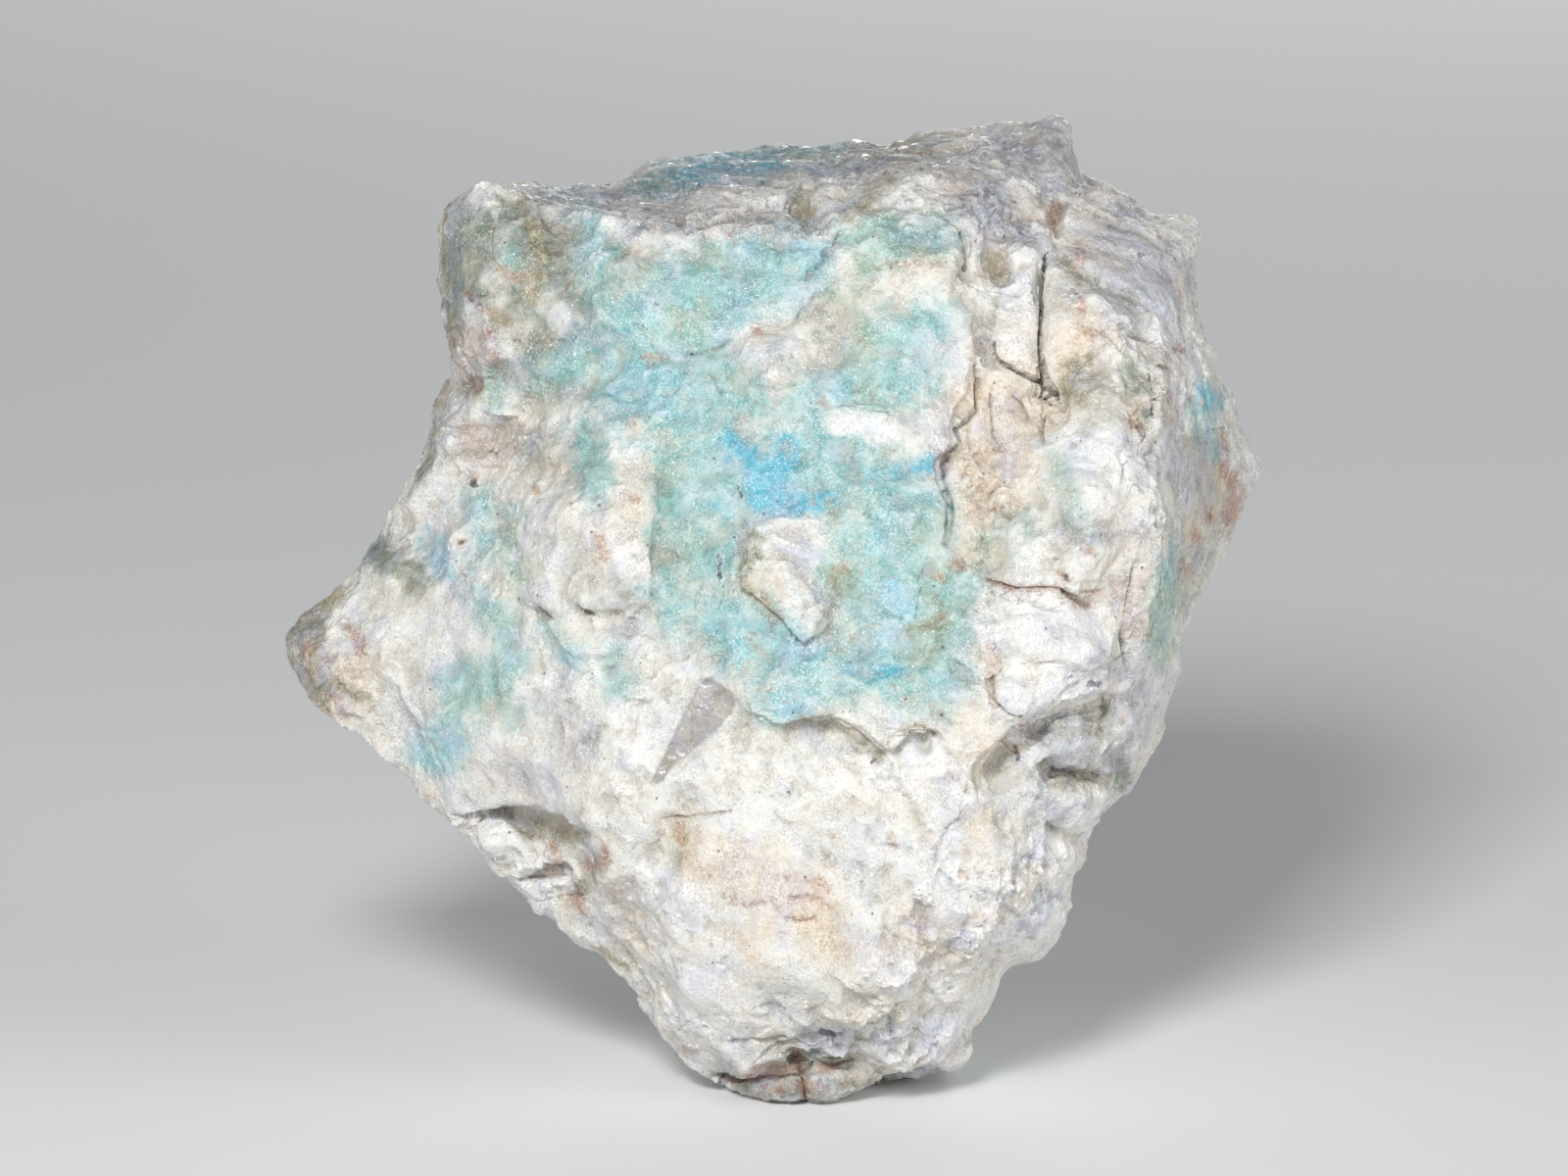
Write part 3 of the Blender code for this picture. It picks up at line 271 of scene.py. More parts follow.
        (1.2, (37, 1), (36.5, -4)), (1, (34, 0), (35, -4)), (0.8, (38.8, 24), (39, 17)),
        (1.2, (14, -32.8), (14.3, -34)), (0.8, (18.2, -27), (18.4, -29)), (1, (8.5, -38), (10, -38.5)),
        (0.8, (16, -39), (16, -40)), (0.8, (30, -26.6), (30.6, -27.2)), (1.2, (20, 26), (20, 24)),
        (0.8, (27, 37.5), (28.5, 38.5)), (1, (16, 42.5), (18, 39.5)), (1, (-16, -30), (-17.5, -31.5)),
    ),
    Zone.RUST: (
        (0.4, (-32, 29.7), (-30.5, 28.2)), (0.5, (-30.2, 25.8), (-29.8, 25.5)),
        (0.5, (-29.6, 23.8), (-29.3, 23.2)), (0.6, (-31.8, 21), (-31.2, 20.6)),
        (0.4, (-27.8, 31.7), (-27.2, 31.3)), (0.2, (-29, 32.4), (-26.5, 32.1)),
        (0.2, (-14.3, 23.4), (-12, 23.3)), (0.3, (3.8, 18.9)), (0.3, (-3, 26.2), (-2.4, 25.9)),
        (0.5, (29.8, 33.8), (30.2, 33.2)), (0.5, (27.5, 39), (27.2, 36.5)), (0.3, (30, 29.4), (30.2, 28)),
        (0.3, (39.8, 24.3), (40.4, 24.2)), (0.5, (-31.7, 11.1)), (0.4, (-32.7, 4.7)), (0.2, (-32.5, 1.7)),
        (0.3, (20.8, 0.7), (24, -0.3), (26.2, 0)), (0.3, (27.5, 0), (29.5, -1.4), (30.5, -1.8)),
        (0.2, (30, -0.4), (31.5, -0.5)), (0.4, (27.8, 1.3), (28.5, 1)), (0.4, (20.8, -6)),
        (0.2, (21.2, -6.8), (21.4, -8)), (0.15, (21, -9), (21.2, -11.5), (22, -12.2)),
        (0.6, (-43.8, -4.8), (-43, -6.4)), (0.4, (-44.5, -4)), (0.4, (-46.4, -7.2)),
        (0.4, (-48.6, -5.8), (-48.8, -6.8)), (0.4, (-48.4, -8.8)), (0.6, (-18.8, 5.2), (-18.2, 3.4)),
        (0.3, (-25.2, 10.2), (-25, 9.8)), (0.3, (-16, 9.4), (-15, 9)),
        (0.8, (45, 12.2), (46.6, 9.6), (45.5, 7)), (0.6, (43.2, 7.8), (43.6, 7)),
        (0.5, (41.8, 5.5), (42, 5)), (0.5, (41.2, 2), (41.4, 1.5)), (0.5, (44.8, 15.5), (45, 14.5)),
        (0.5, (35, 17), (36, 16)), (0.4, (-45.5, -11.2), (-46, -10.8)), (0.4, (-45.2, -12.5)),
        (0.5, (-23.5, -26), (-22.5, -28.5)), (0.6, (-20, -28), (-18.5, -28)),
        (0.6, (-21, -31.5), (-20.5, -32.5)), (0.4, (-18.2, -26), (-18, -27.5)), (0.3, (-20.2, -33)),
        (0.3, (-11, -24), (-10.2, -26)), (0.2, (-7, -30.8), (-4, -31.8), (-1, -31.5), (0, -33.2)),
        (0.3, (0, -29), (3.2, -29.8)), (0.2, (0.3, -33.3), (3, -33.2)),
        (0.2, (0.6, -31.2), (3, -31.4), (4.5, -32)), (0.3, (11, -22.7)), (0.2, (20.2, 16.8)),
        (0.2, (21.8, 14.8), (22, 13.8)), (0.25, (19.8, 10)), (0.2, (23, 18)), (0.2, (21.2, 8)),
        (0.3, (30, 26), (31, 25.5)), (0.25, (2, -50), (4, -50.8)), (0.4, (-2, -50.4), (0, -50.8)),
        (0.3, (10.8, -24.8), (11.2, -26)), (0.3, (6.8, -5.1)), (0.25, (15.7, -12.5)), (0.4, (23.5, -16.2)),
        (0.4, (16.8, -18.8), (17.2, -19)), (0.6, (1.2, -47), (1.4, -48.4)), (0.5, (-4, -49.6), (0, -49)),
        (0.3, (-3, -48.6), (0, -48.2)), (0.4, (3.5, -48.6), (5, -48.4)), (0.6, (2, -50), (2.2, -51.2)),
        (0.2, (-6.5, -49.5), (-5, -50)), (0.4, (24, -14), (25.2, -14.5)), (0.2, (25, -27.2), (25.2, -29)),
        (0.3, (18, -28.5), (18.3, -29.2)), (0.2, (10.5, 32.8), (14, 32.6)), (0.4, (31.2, 3.5), (30.5, 3.8)),
        (0.5, (17, 2.5), (18, 2.2)), (0.4, (15, 1.5), (16, 1)), (0.3, (3.5, -29.5), (4.5, -30.5)),
        (0.2, (4.3, -27)), (0.4, (-10, -46.8), (-9.4, -47)), (0.2, (-23, -29), (-24.5, -29.3)),
        (0.2, (-14, -41), (-13.8, -41.4)),
    ),
    Zone.DIRT: (
        (0.23, (-32, 29.5), (-31.2, 28.9), (-30.6, 28.5)), (0.44, (-31.55, 10.65)), (0.28, (-32.7, 4.6)),
        (0.12, (-14.8, 26.8), (-13.9, 26.3)), (0.14, (-13.4, 28.7), (-12.8, 28.6)),
        (0.18, (15.7, -12.5), (15.8, -12.8)), (0.16, (8.8, -17.7), (9.1, -17.3)),
        (0.16, (6.7, -21.3), (6.9, -21)), (0.26, (26.3, 19.3)), (0.15, (36.8, 21.5), (37.2, 20)),
        (0.2, (36.8, 18.5), (37.2, 17.5)), (0.25, (35, 16.8), (36.3, 15.5)), (0.2, (36, 16), (36.2, 14.8)),
        (0.16, (40, 17.9)), (0.2, (20.8, -6)), (0.2, (28.4, 1.2)), (0.3, (30.5, -9.6), (31.8, -9.7)),
        (0.25, (23.3, -16), (23.6, -17.2)), (0.25, (27, -18.3), (29.5, -18.8)),
        (0.35, (3.8, -44.8), (5, -45.2)), (0.25, (1.2, -47.5)), (0.2, (21.2, 24.8), (21.4, 23.8)),
        (0.15, (-6.5, 3.3), (-6.4, 0.5)), (0.15, (-4.8, 10.4), (-4.2, 9.2)), (0.13, (-8.9, 11.6)),
        (0.16, (29.8, 40.2), (30.8, 40)), (0.2, (23.8, 36.4), (24.4, 35.8)),
        (0.14, (22, 36.2), (22.3, 35.6)), (0.14, (23.3, 39.4), (23.7, 39.1)),
        (0.2, (-30, 14), (-29.2, 13.9)), (0.22, (38, 22.5), (38.6, 22.2)),
    ),
    # Painted shade: a dark grey film on the top, the upper left edge, the arm's tip and the foot.
    Zone.DUSK: (
        (2, (-16, 40.4), (-10, 41), (-2, 42.4), (6, 43.4), (13, 44.2)),
        (1.4, (-10, 42.8), (-2, 44), (4, 44.4), (10, 45)), (1.6, (16, 43.5), (21, 43.5), (26, 45)),
        (1.6, (26, 47.2), (28, 47.5), (28.5, 44)), (1.2, (30, 41.5), (34, 40), (36.5, 38.8)),
        (1.2, (18.5, 39), (23, 38.5), (26, 38.8)), (1.4, (-24, 40), (-18, 39.5), (-10, 38.8)),
        (1, (-15, 36.8), (-4, 36.2), (3, 36.2)), (1, (-34.5, 37.5), (-34.8, 30), (-34.5, 25)),
        (1, (-35.5, 20), (-37, 12)), (1, (-49, -4), (-49.4, -8), (-48, -10.5)),
        (1.2, (25, -50.8), (10, -50.6), (-4, -51)), (1.6, (-6, -49.2), (3, -50.6)),
        (1.6, (16, 43), (21, 43)), (1.4, (-10, 37.4), (-2, 37)), (1.4, (2, -46.6), (5, -46)),
        (2.6, (24.5, 44), (27.5, 45.2)), (2, (21, 39.5), (23.5, 37.2)),
    ),
    Zone.QUARTZ: (
        (0, (-8.6, -9.7), (-7.7, -8.9), (-6.1, -9.8), (-4.7, -11.4), (-5.2, -12.7), (-6.4, -13.9),
         (-7.7, -15.1), (-9.2, -16.2), (-10.5, -17.3), (-11.5, -18.4), (-12.5, -19.7), (-13.5, -19.9),
         (-12.9, -18.3), (-11.9, -16.4), (-10.9, -14.4), (-9.8, -12.1)),
    ),
    Zone.CALM: (
        (2.6, (27.8, 47.8), (28.5, 45)), (2.2, (-35, 40.5), (-32.5, 38.5)), (2, (39.5, 37.5), (40.8, 35.8)),
        (6, (-10, 27), (8, 27)), (5, (-8, 12), (10, 0)), (6, (-4, -26), (0, -36)),
        (5, (-30, -16), (-24, -20)), (4, (-38, -2), (-32, -10)), (3, (21, 20), (23, 14)),
        (2.6, (26, 32), (28, 22)), (3.5, (32, 35), (39, 31)), (4, (-40, 0), (-32, -5)),
        (4, (-31, 34), (-24, 27)), (2.5, (40, 15), (43, 8)), (2, (-10, -40), (-4, -42)),
        (2.6, (28.5, 12), (30.5, 9)),
    ),
    Zone.COARSE: (
        (2.6, (0, 4), (3, 0)), (2.5, (-32, 15), (-27, 16)), (3.4, (20, -35), (25, -30)),
        (3.4, (10, -44), (16, -46)), (2.5, (20, 12), (21, 6)), (1.8, (-47, -7), (-43, -9)),
        (2, (10, -38), (14, -36)), (1.6, (-3.5, 24), (-1, 21)), (1.6, (36, 16), (37, 20)),
    ),
}

# Cracks and seams: half the width, the depth, and the (across, up) points, in millimetres. Besides real
# cracks, some are painted shadow lines under the ledges and along the chip's edge.
SEAMS: tuple = (
    (0.2, 1.4, (26.5, 33.8), (26.2, 31.5), (26, 29), (25.8, 26.5), (25.7, 24.5), (26, 22), (26.2, 20),
     (26.3, 19.2)), (0.16, 0.8, (26.3, 19.2), (27.2, 19.6)),
    (0.16, 0.8, (26.3, 19.2), (27, 18.5), (27.7, 18.5)), (0.14, 0.6, (26.3, 19.2), (25.5, 19.5)),
    (0.14, 0.8, (26.2, 18.2), (26.2, 17), (26, 16), (26.1, 14.8)),
    (0.15, 0.8, (21.5, 23.2), (23.5, 21.8), (26, 20.7), (27.5, 19.5), (28.3, 18)),
    (0.1, 0.8, (19.8, 22.5), (19.5, 20), (19.3, 18), (18.5, 17), (17.4, 16), (17.7, 14.8), (17.2, 13.9)),
    (0.1, 0.7, (16.6, 13.2), (16, 12.4), (16.1, 11)),
    (0.1, 0.5, (16.3, 10), (16.8, 8.8), (17, 7.6), (16.9, 6.4)),
    (0.1, 0.3, (20.8, 19.5), (21, 17), (21.2, 15.2)), (0.1, 0.3, (23, 19.5), (24, 18.8), (24.8, 17)),
    (0.09, 0.25, (5.6, 36), (4.8, 34.2), (3.8, 33), (2.6, 31.8), (2.2, 31.2)),
    (0.09, 0.25, (3.2, 30), (2.4, 28.8), (1.7, 28.2), (1.2, 27), (0, 26.4), (-2, 26.4), (-3, 26.2)),
    (0.1, 0.3, (-10, 23.4), (-7, 24.1), (-5.5, 25)), (0.1, 0.2, (-18.1, 19.8), (-16.8, 19.1)),
    (0.18, 0.8, (17.7, 36), (18, 34.5), (18.5, 32.5)),
    (0.12, 0.5, (-16, 37.6), (-10, 36.9), (-4, 36.5), (4, 36.2)),
    (0.16, 0.6, (-10, 35.7), (-7, 36.8), (-4, 38.2), (-1, 38.8), (0.3, 38.6)),
    (0.12, 0.5, (-20, 39.2), (-16, 39.4), (-10, 40.2)), (0.11, 0.4, (2, 41.8), (6, 41.6), (10, 42.2)),
    (0.11, 0.4, (0, 41), (5, 40.8)), (0.15, 0.6, (29.8, 40.2), (32, 39.9)),
    (0.15, 0.6, (34.2, 26.4), (35.8, 25.5), (37.5, 24.8)), (0.11, 0.4, (31.5, 26), (33.5, 24.8), (35, 23.8)),
    (0.09, 0.3, (-16, -11.3), (-14.8, -11.4), (-13.9, -11.4)), (0.1, 0.2, (10, -2.4), (11.8, -3)),
    (0.1, 0.2, (13.8, 0), (13.4, -1.4), (13.2, -3)),
    (0.12, 0.3, (-3, 6), (-3.7, 4.5), (-3.7, 2.5), (-4.3, 1.2), (-3.8, 0), (-2, -1.2), (-0.3, -3),
     (0.5, -4.5), (1.8, -5.3)),
    (0.11, 0.4, (20.6, 0.8), (22, 0.3), (24, -0.3), (26.2, 0), (27.5, -0.1), (29.6, -1.5), (30.8, -1.9)),
    (0.1, 0.3, (29.8, -0.4), (31.6, -0.4)),
    (0.12, 0.4, (21, -9), (21.2, -11.2), (22.2, -12.2), (23.6, -12.8), (25, -13.5)),
    (0.13, 0.5, (32.5, -12), (30, -12.4), (27.5, -12.8), (25, -13.4), (23, -14.5), (21.6, -15.6)),
    (0.1, 0.3, (-12, -23.2), (-10, -23.1), (-8, -22.8), (-5.5, -22.5)),
    (0.1, 0.2, (0.3, -33.3), (1.8, -33.6), (3.2, -33.2)),
    (0.09, 0.2, (0.6, -31.2), (2, -30.9), (3.6, -31.3)), (0.09, 0.2, (-1, -22.5), (0, -23.8), (1.2, -23.6)),
    (0.12, 0.5, (-5.5, -46), (-3, -45.6), (0, -45.2)),
    (0.12, 0.4, (-6.5, -49.5), (-4, -50), (-1, -49.6), (1.5, -49.2), (3, -48), (5, -48.3), (7, -47.8)),
    (0.12, 0.4, (1.5, -48.6), (2, -50), (2.2, -51.8)),
    (0.08, 0.2, (-27, -29.6), (-24.5, -29.3), (-22, -29.1)),
    (0.09, 0.3, (-24, -31.6), (-22, -31.2), (-20, -31)),
    (0.13, 0.4, (-33.8, -23.2), (-32, -23.5), (-30, -22.8), (-28, -23.2)),
    (0.1, 0.2, (-27.4, 6), (-27.2, 3), (-27, 0)), (0.12, 0.5, (-31.2, -23.6), (-29.5, -23)),
    (0.1, 0.3, (10.5, -15), (12, -14.2), (14, -14.2), (15, -15)),
    (0.09, 0.2, (42.2, 15.2), (43.5, 16.2), (45.2, 16.6)),
    (0.1, 0.4, (35, 2), (34.5, -1), (34, -5), (34.6, -9)),
    (0.1, 0.4, (37.6, 7), (37.8, 2), (37.6, -2), (36.6, -4.5)),
    (0.09, 0.2, (18.5, 16), (18.8, 13), (18, 11)),
)

# Slabs, lumps and chips: the height, its slope across and up, the softness of the edge, and the outline's
# (across, up) points, in millimetres. A negative height is a hollow.
PLATES: tuple = (
    (0.45, (0, 0), 0.3, (22.8, 33.8), (24.5, 34.6), (26.2, 34), (26, 30), (25.8, 25.5), (25.8, 21.2),
     (24, 22.2), (21.8, 23.4), (21, 25.5), (21.6, 28), (22.2, 31)),
    (0.45, (-0.03, 0.03), 0.3, (26.8, 33), (28.5, 31.8), (31, 30.3), (33.5, 28), (35, 25.5), (33.8, 24),
     (31.5, 22.3), (29.5, 20.8), (28.3, 19.6), (27, 20.5), (26.4, 24), (26.5, 29)),
    (0.3, (0, 0), 0.6, (21.3, 23), (26, 20.4), (27.8, 19.2), (28.5, 17.5), (27.8, 16.8), (26.2, 17),
     (26, 15), (25.5, 12), (24, 10), (21.5, 8), (19, 4), (17.2, 5.5), (16.8, 8.5), (16.2, 11), (17.2, 13.8),
     (17.7, 16), (19.5, 17.5), (19.9, 20), (20.4, 22)),
    (0.4, (0.03, 0), 0.3, (4, 36), (10, 38.4), (16, 37.4), (18.4, 36), (18.6, 33.2), (17.5, 32), (14, 32.1),
     (10, 32.5), (5, 33.8)),
    (0.7, (-0.04, 0.02), 0.4, (28.5, 38.8), (33, 37.8), (39, 36.4), (41.5, 35.5), (42.2, 30), (39, 27),
     (36.5, 29), (35, 30), (32, 30.8), (29.5, 32), (27.8, 33.5), (27.8, 37)),
    (0.6, (-0.09, -0.02), 0.25, (-2.4, 6.6), (-3.4, 5.2), (-3.7, 4), (-3.5, 2.8), (-4.3, 1.7), (-4.3, 0.5),
     (-3.2, -0.7), (-1.5, -2), (0, -3.2), (0.8, -4.8), (2, -5.5), (3.8, -4.5), (4.8, -2), (5.5, 0),
     (6.2, 2.5), (5.5, 5.5), (3, 7), (0, 7.2)),
    (0.35, (0.0, -0.03), 0.4, (-28, 8.8), (-25.5, 11.4), (-20, 12.8), (-16, 11.6), (-13.6, 9.6), (-12.8, 8),
     (-13.6, 4), (-13.2, 1), (-13.6, -1.5), (-15.2, -2.8), (-16, -5.5), (-18, -6.8), (-21, -6.8),
     (-22.5, -5.5), (-23.5, -4), (-24.5, -2.5), (-26, -1.5), (-27, 0), (-27.3, 3), (-27.7, 6)),
    (0.55, (0, -0.02), 0.3, (20, 0.4), (24, -0.2), (27.5, -0.3), (30, -2), (33, -1.5), (33.5, -4),
     (32.5, -6.5), (30, -9), (28, -10), (25, -12.2), (23, -12.5), (21.2, -11.2), (20.8, -8), (19.2, -5),
     (18.6, -2)),
    (0.4, (0, 0), 0.3, (24, -6), (30, -5), (32.2, -6.8), (29, -9), (26, -9)),
    (-0.5, (0, 0), 0.6, (21.8, -15.8), (25, -13.8), (29.5, -12.7), (33.2, -12.2), (34.5, -14), (32, -15.2),
     (28.5, -14.3), (25.5, -15.4), (23, -17)),
    (0.5, (0, 0), 0.3, (26.2, -14.8), (28.5, -14), (31, -14.6), (32.5, -16), (31.5, -17.8), (28.5, -18.2),
     (26.2, -17.4)),
    (0.45, (0, 0.02), 0.3, (25.2, -20), (28, -19), (32, -20), (34, -21.2), (32, -23.2), (28.5, -24.2),
     (26, -23.2)),
    (-0.35, (0, 0), 0.5, (26.2, -18.4), (30, -18.6), (34, -19), (33, -20), (29, -19), (26, -19.4)),
    (0.5, (-0.02, 0), 0.3, (-10, 37.6), (-9, 39.2), (-6, 40.1), (-2, 40.4), (2, 40.2), (4.5, 39.5),
     (6.2, 38.8), (5.5, 37.2), (4, 36.4), (2, 37.2), (0, 38.4), (-3, 38.4), (-6, 37.6), (-8, 36.6),
     (-9.7, 36.3)),
    (0.3, (0, 0), 0.3, (-7.2, 36.2), (-4, 37.6), (0, 38.1), (3, 36.9), (4.2, 36.1), (0, 35.8), (-4, 35.8)),
    (0.6, (0.02, -0.02), 0.3, (-33.8, -23.8), (-31, -23.2), (-28.5, -23.2), (-27.5, -24.5), (-26, -25),
     (-25.5, -26.8), (-24, -28), (-26, -29), (-28.5, -29.2), (-30, -28), (-31.2, -26.2), (-33, -25)),
    (0.4, (0, 0), 0.4, (-25.5, -29.7), (-22, -29.1), (-20.8, -30.5), (-22.5, -31.6), (-25, -31.6),
     (-26.5, -30.6)),
    (-0.45, (0.0, -0.02), 0.7, (-29.5, -22.8), (-26, -22.2), (-22, -23.5), (-19, -25), (-17.8, -27),
     (-20, -28.8), (-21.8, -29), (-23.5, -27), (-25.5, -25.5), (-27.5, -24.2)),
    (-0.7, (0, 0), 0.5, (-1.5, -46.4), (2, -44.8), (5.5, -44.2), (8.8, -45.5), (7.5, -46.8), (4, -47.8),
     (0, -48), (-3, -48.4)),
    (0.5, (0, 0), 0.3, (-6, -50), (-1, -49.8), (3, -49.2), (6.8, -48.6), (10, -49.2), (8, -50.6), (4, -51.6),
     (-1, -51.8), (-4.5, -51)),
    (-0.25, (0, 0), 0.15, (-8.6, -9.7), (-7.7, -8.9), (-6.1, -9.8), (-4.7, -11.4), (-5.2, -12.7),
     (-6.4, -13.9), (-7.7, -15.1), (-9.2, -16.2), (-10.5, -17.3), (-11.5, -18.4), (-12.5, -19.7),
     (-13.5, -19.9), (-12.9, -18.3), (-11.9, -16.4), (-10.9, -14.4), (-9.8, -12.1)),
    (0.4, (0, -0.03), 0.3, (-3.5, 25.5), (-1, 26), (1.8, 24.8), (2.5, 22.5), (1.5, 20.5), (-1, 20),
     (-3.5, 20.8), (-4.5, 22.8)),
    (0.35, (0, 0), 0.3, (2, 17.5), (6, 18.2), (10, 17.8), (13, 16.2), (11.5, 14.2), (8, 14.5), (5, 15.2),
     (2.5, 15.4)),
    (0.5, (0.02, 0), 0.3, (10.5, -14.2), (14, -13.8), (16, -16), (18.5, -19), (17.5, -23), (15, -25),
     (13, -22), (11.5, -19), (10, -16.5)),
    (0.45, (0, 0), 0.3, (16, -25), (20, -23.5), (23.5, -25), (24, -28.5), (21, -30.5), (17.5, -30),
     (15.5, -28)),
    (0.4, (0, 0), 0.3, (23, -29), (27.5, -28), (29.2, -30), (28.5, -33.5), (25, -34.5), (23, -32.5)),
    (0.4, (0, 0), 0.3, (10.5, -31.5), (14.5, -30), (18.5, -31.5), (17.5, -35), (13.5, -35.8), (10.5, -34.5)),
    (0.5, (0, 0), 0.3, (7, -37.5), (10.5, -36.5), (14.5, -38.5), (13, -41.5), (9, -42), (6.5, -40)),
    (0.4, (0, 0), 0.3, (15, -37.5), (19, -36.5), (21, -38.5), (19, -41.5), (16, -42), (14.5, -40)),
    (0.45, (0, 0), 0.3, (8, -44), (12, -42.8), (15.5, -44), (14.5, -47), (10.5, -48), (8, -46.5)),
    (0.4, (0, 0), 0.3, (28.5, 4), (32, 5.5), (33.5, 4), (31.5, 1), (29, 0.5), (27.8, 2)),
    (0.5, (0.03, 0), 0.8, (26, 14), (30, 15.5), (33.5, 14.5), (34, 11), (33, 7), (29.5, 6), (27, 8),
     (25.8, 11)),
    (0.5, (0, 0), 0.35, (34.5, 7), (37.8, 8), (38, 0), (37, -5), (34.5, -9), (34, -4), (34.5, 2)),
    (-0.4, (0, 0), 0.4, (34, 27), (37.5, 24.5), (37.8, 20), (36.8, 16), (35, 16), (34.5, 20), (33.5, 23.5)),
    (0.5, (0, 0), 0.35, (-32.5, 30), (-30, 29.5), (-29.2, 26), (-29.5, 21.5), (-32, 21.5), (-33.2, 25.5)),
    (0.4, (0, 0), 0.3, (-29.5, 38.5), (-25.5, 39.2), (-23.8, 36), (-24, 31), (-27, 30), (-29.2, 33.5)),
    (0.35, (0, 0), 0.3, (-24, 28.8), (-21, 29.5), (-20, 27), (-21.5, 25), (-24, 25.5)),
    (0.4, (0, 0), 0.3, (-34.5, 16), (-31, 16.2), (-28, 15.4), (-27, 13), (-29.5, 11.8), (-33, 12),
     (-34.5, 13.8)),
    (0.35, (0, 0), 0.3, (-16, 38), (-10, 37.2), (-11, 36), (-16, 36.4)),
    (0.4, (0, 0), 0.4, (13, 42), (18.5, 43.5), (21, 41), (19, 38.5), (14.5, 38), (12.5, 40)),
    (0.5, (0, 0), 0.4, (21, 41), (25, 42.2), (27.5, 40.5), (26.8, 38), (23.5, 37.5), (21, 38.8)),
    (0.4, (0, 0), 0.3, (-46.4, -10), (-42.8, -9.5), (-40.8, -11.2), (-42.8, -13), (-45.5, -12.6)),
    (0.4, (0, 0), 0.3, (-48.8, -4), (-46, -2.8), (-44.4, -5), (-45, -9), (-47.8, -10), (-49.2, -7)),
    (0.35, (0.02, 0), 0.3, (-45, -4), (-40.8, -3.2), (-39, -5.5), (-40.5, -8), (-44, -8.4)),
)

# Ridges and valleys like the two slopes of a roof: the height of the crest, the half width, and the points.
RIDGES: tuple = (
    (0.7, 2.4, (-11, -19.5), (-13.6, -23), (-16, -26.2), (-17.4, -30), (-16.6, -35)),
    (0.5, 2.0, (38, 30), (37.4, 25), (37.6, 18), (37.8, 8), (36.8, 0), (35.8, -5), (34.8, -10)),
    (-0.6, 2.0, (-34, 13), (-30, 14.5), (-27, 17), (-24, 19.5), (-20, 20.5)),
    (0.5, 2.0, (-25.5, 11), (-21.5, 8), (-18.2, 4), (-16, 1.5)),
    (0.5, 2.2, (-31, 40), (-29.5, 34), (-30, 29), (-29.2, 24)),
    (-0.4, 1.8, (-14, 13), (-13.6, 8), (-13.8, 3), (-14, -2)),
    (0.7, 1.3, (-24, 39.5), (-20, 37.9), (-16, 36.8), (-10, 35.6), (-4, 36), (3, 36), (7, 37.6)),
    (-0.5, 1.8, (18.5, 32), (20, 28), (20.4, 25), (19.6, 21.5)),
    (0.5, 2.0, (28.5, 15), (30.5, 10), (29, 5.5)),
    (-0.5, 2.0, (14.5, -16), (16, -20), (16.5, -24), (15, -28), (13, -30)),
    (0.5, 1.8, (20, -26), (22, -30.5), (20, -35), (17.5, -38.5)),
    (-0.4, 1.6, (8, -30), (10, -34), (10.5, -37.5), (8, -41)),
    (0.6, 2.2, (-10, -40), (-6, -43), (-1, -44.5), (5, -43)),
    (0.5, 1.8, (-40, 4), (-36, 0), (-32, -5), (-30, -10)),
    (-0.4, 1.8, (-47, -4), (-44, -4), (-41, -4), (-38, -5.5)),
    (0.5, 2.0, (-32, -14), (-27, -16), (-21, -20), (-18, -23.5)),
    (-0.5, 1.6, (24.5, -28), (25, -31), (24, -35)), (0.5, 1.6, (-24, -20.5), (-21, -22.2), (-18.8, -24)),
    (0.4, 1.5, (-6.5, 10), (-6, 6), (-6.7, 1)), (-0.3, 1.5, (-11, 0), (-8, -2), (-6, -5)),
    (0.3, 1.5, (-1, -6), (3, -8), (8, -10)), (0.4, 1.6, (10.5, 4), (13.5, 0), (14, -4)),
    (-0.35, 1.6, (-10, 30), (-6, 27), (-1, 25.5)), (0.4, 1.6, (6, 30), (10, 27), (15, 25)),
    (0.5, 2.2, (15, 46), (20, 45), (26, 46)),
)

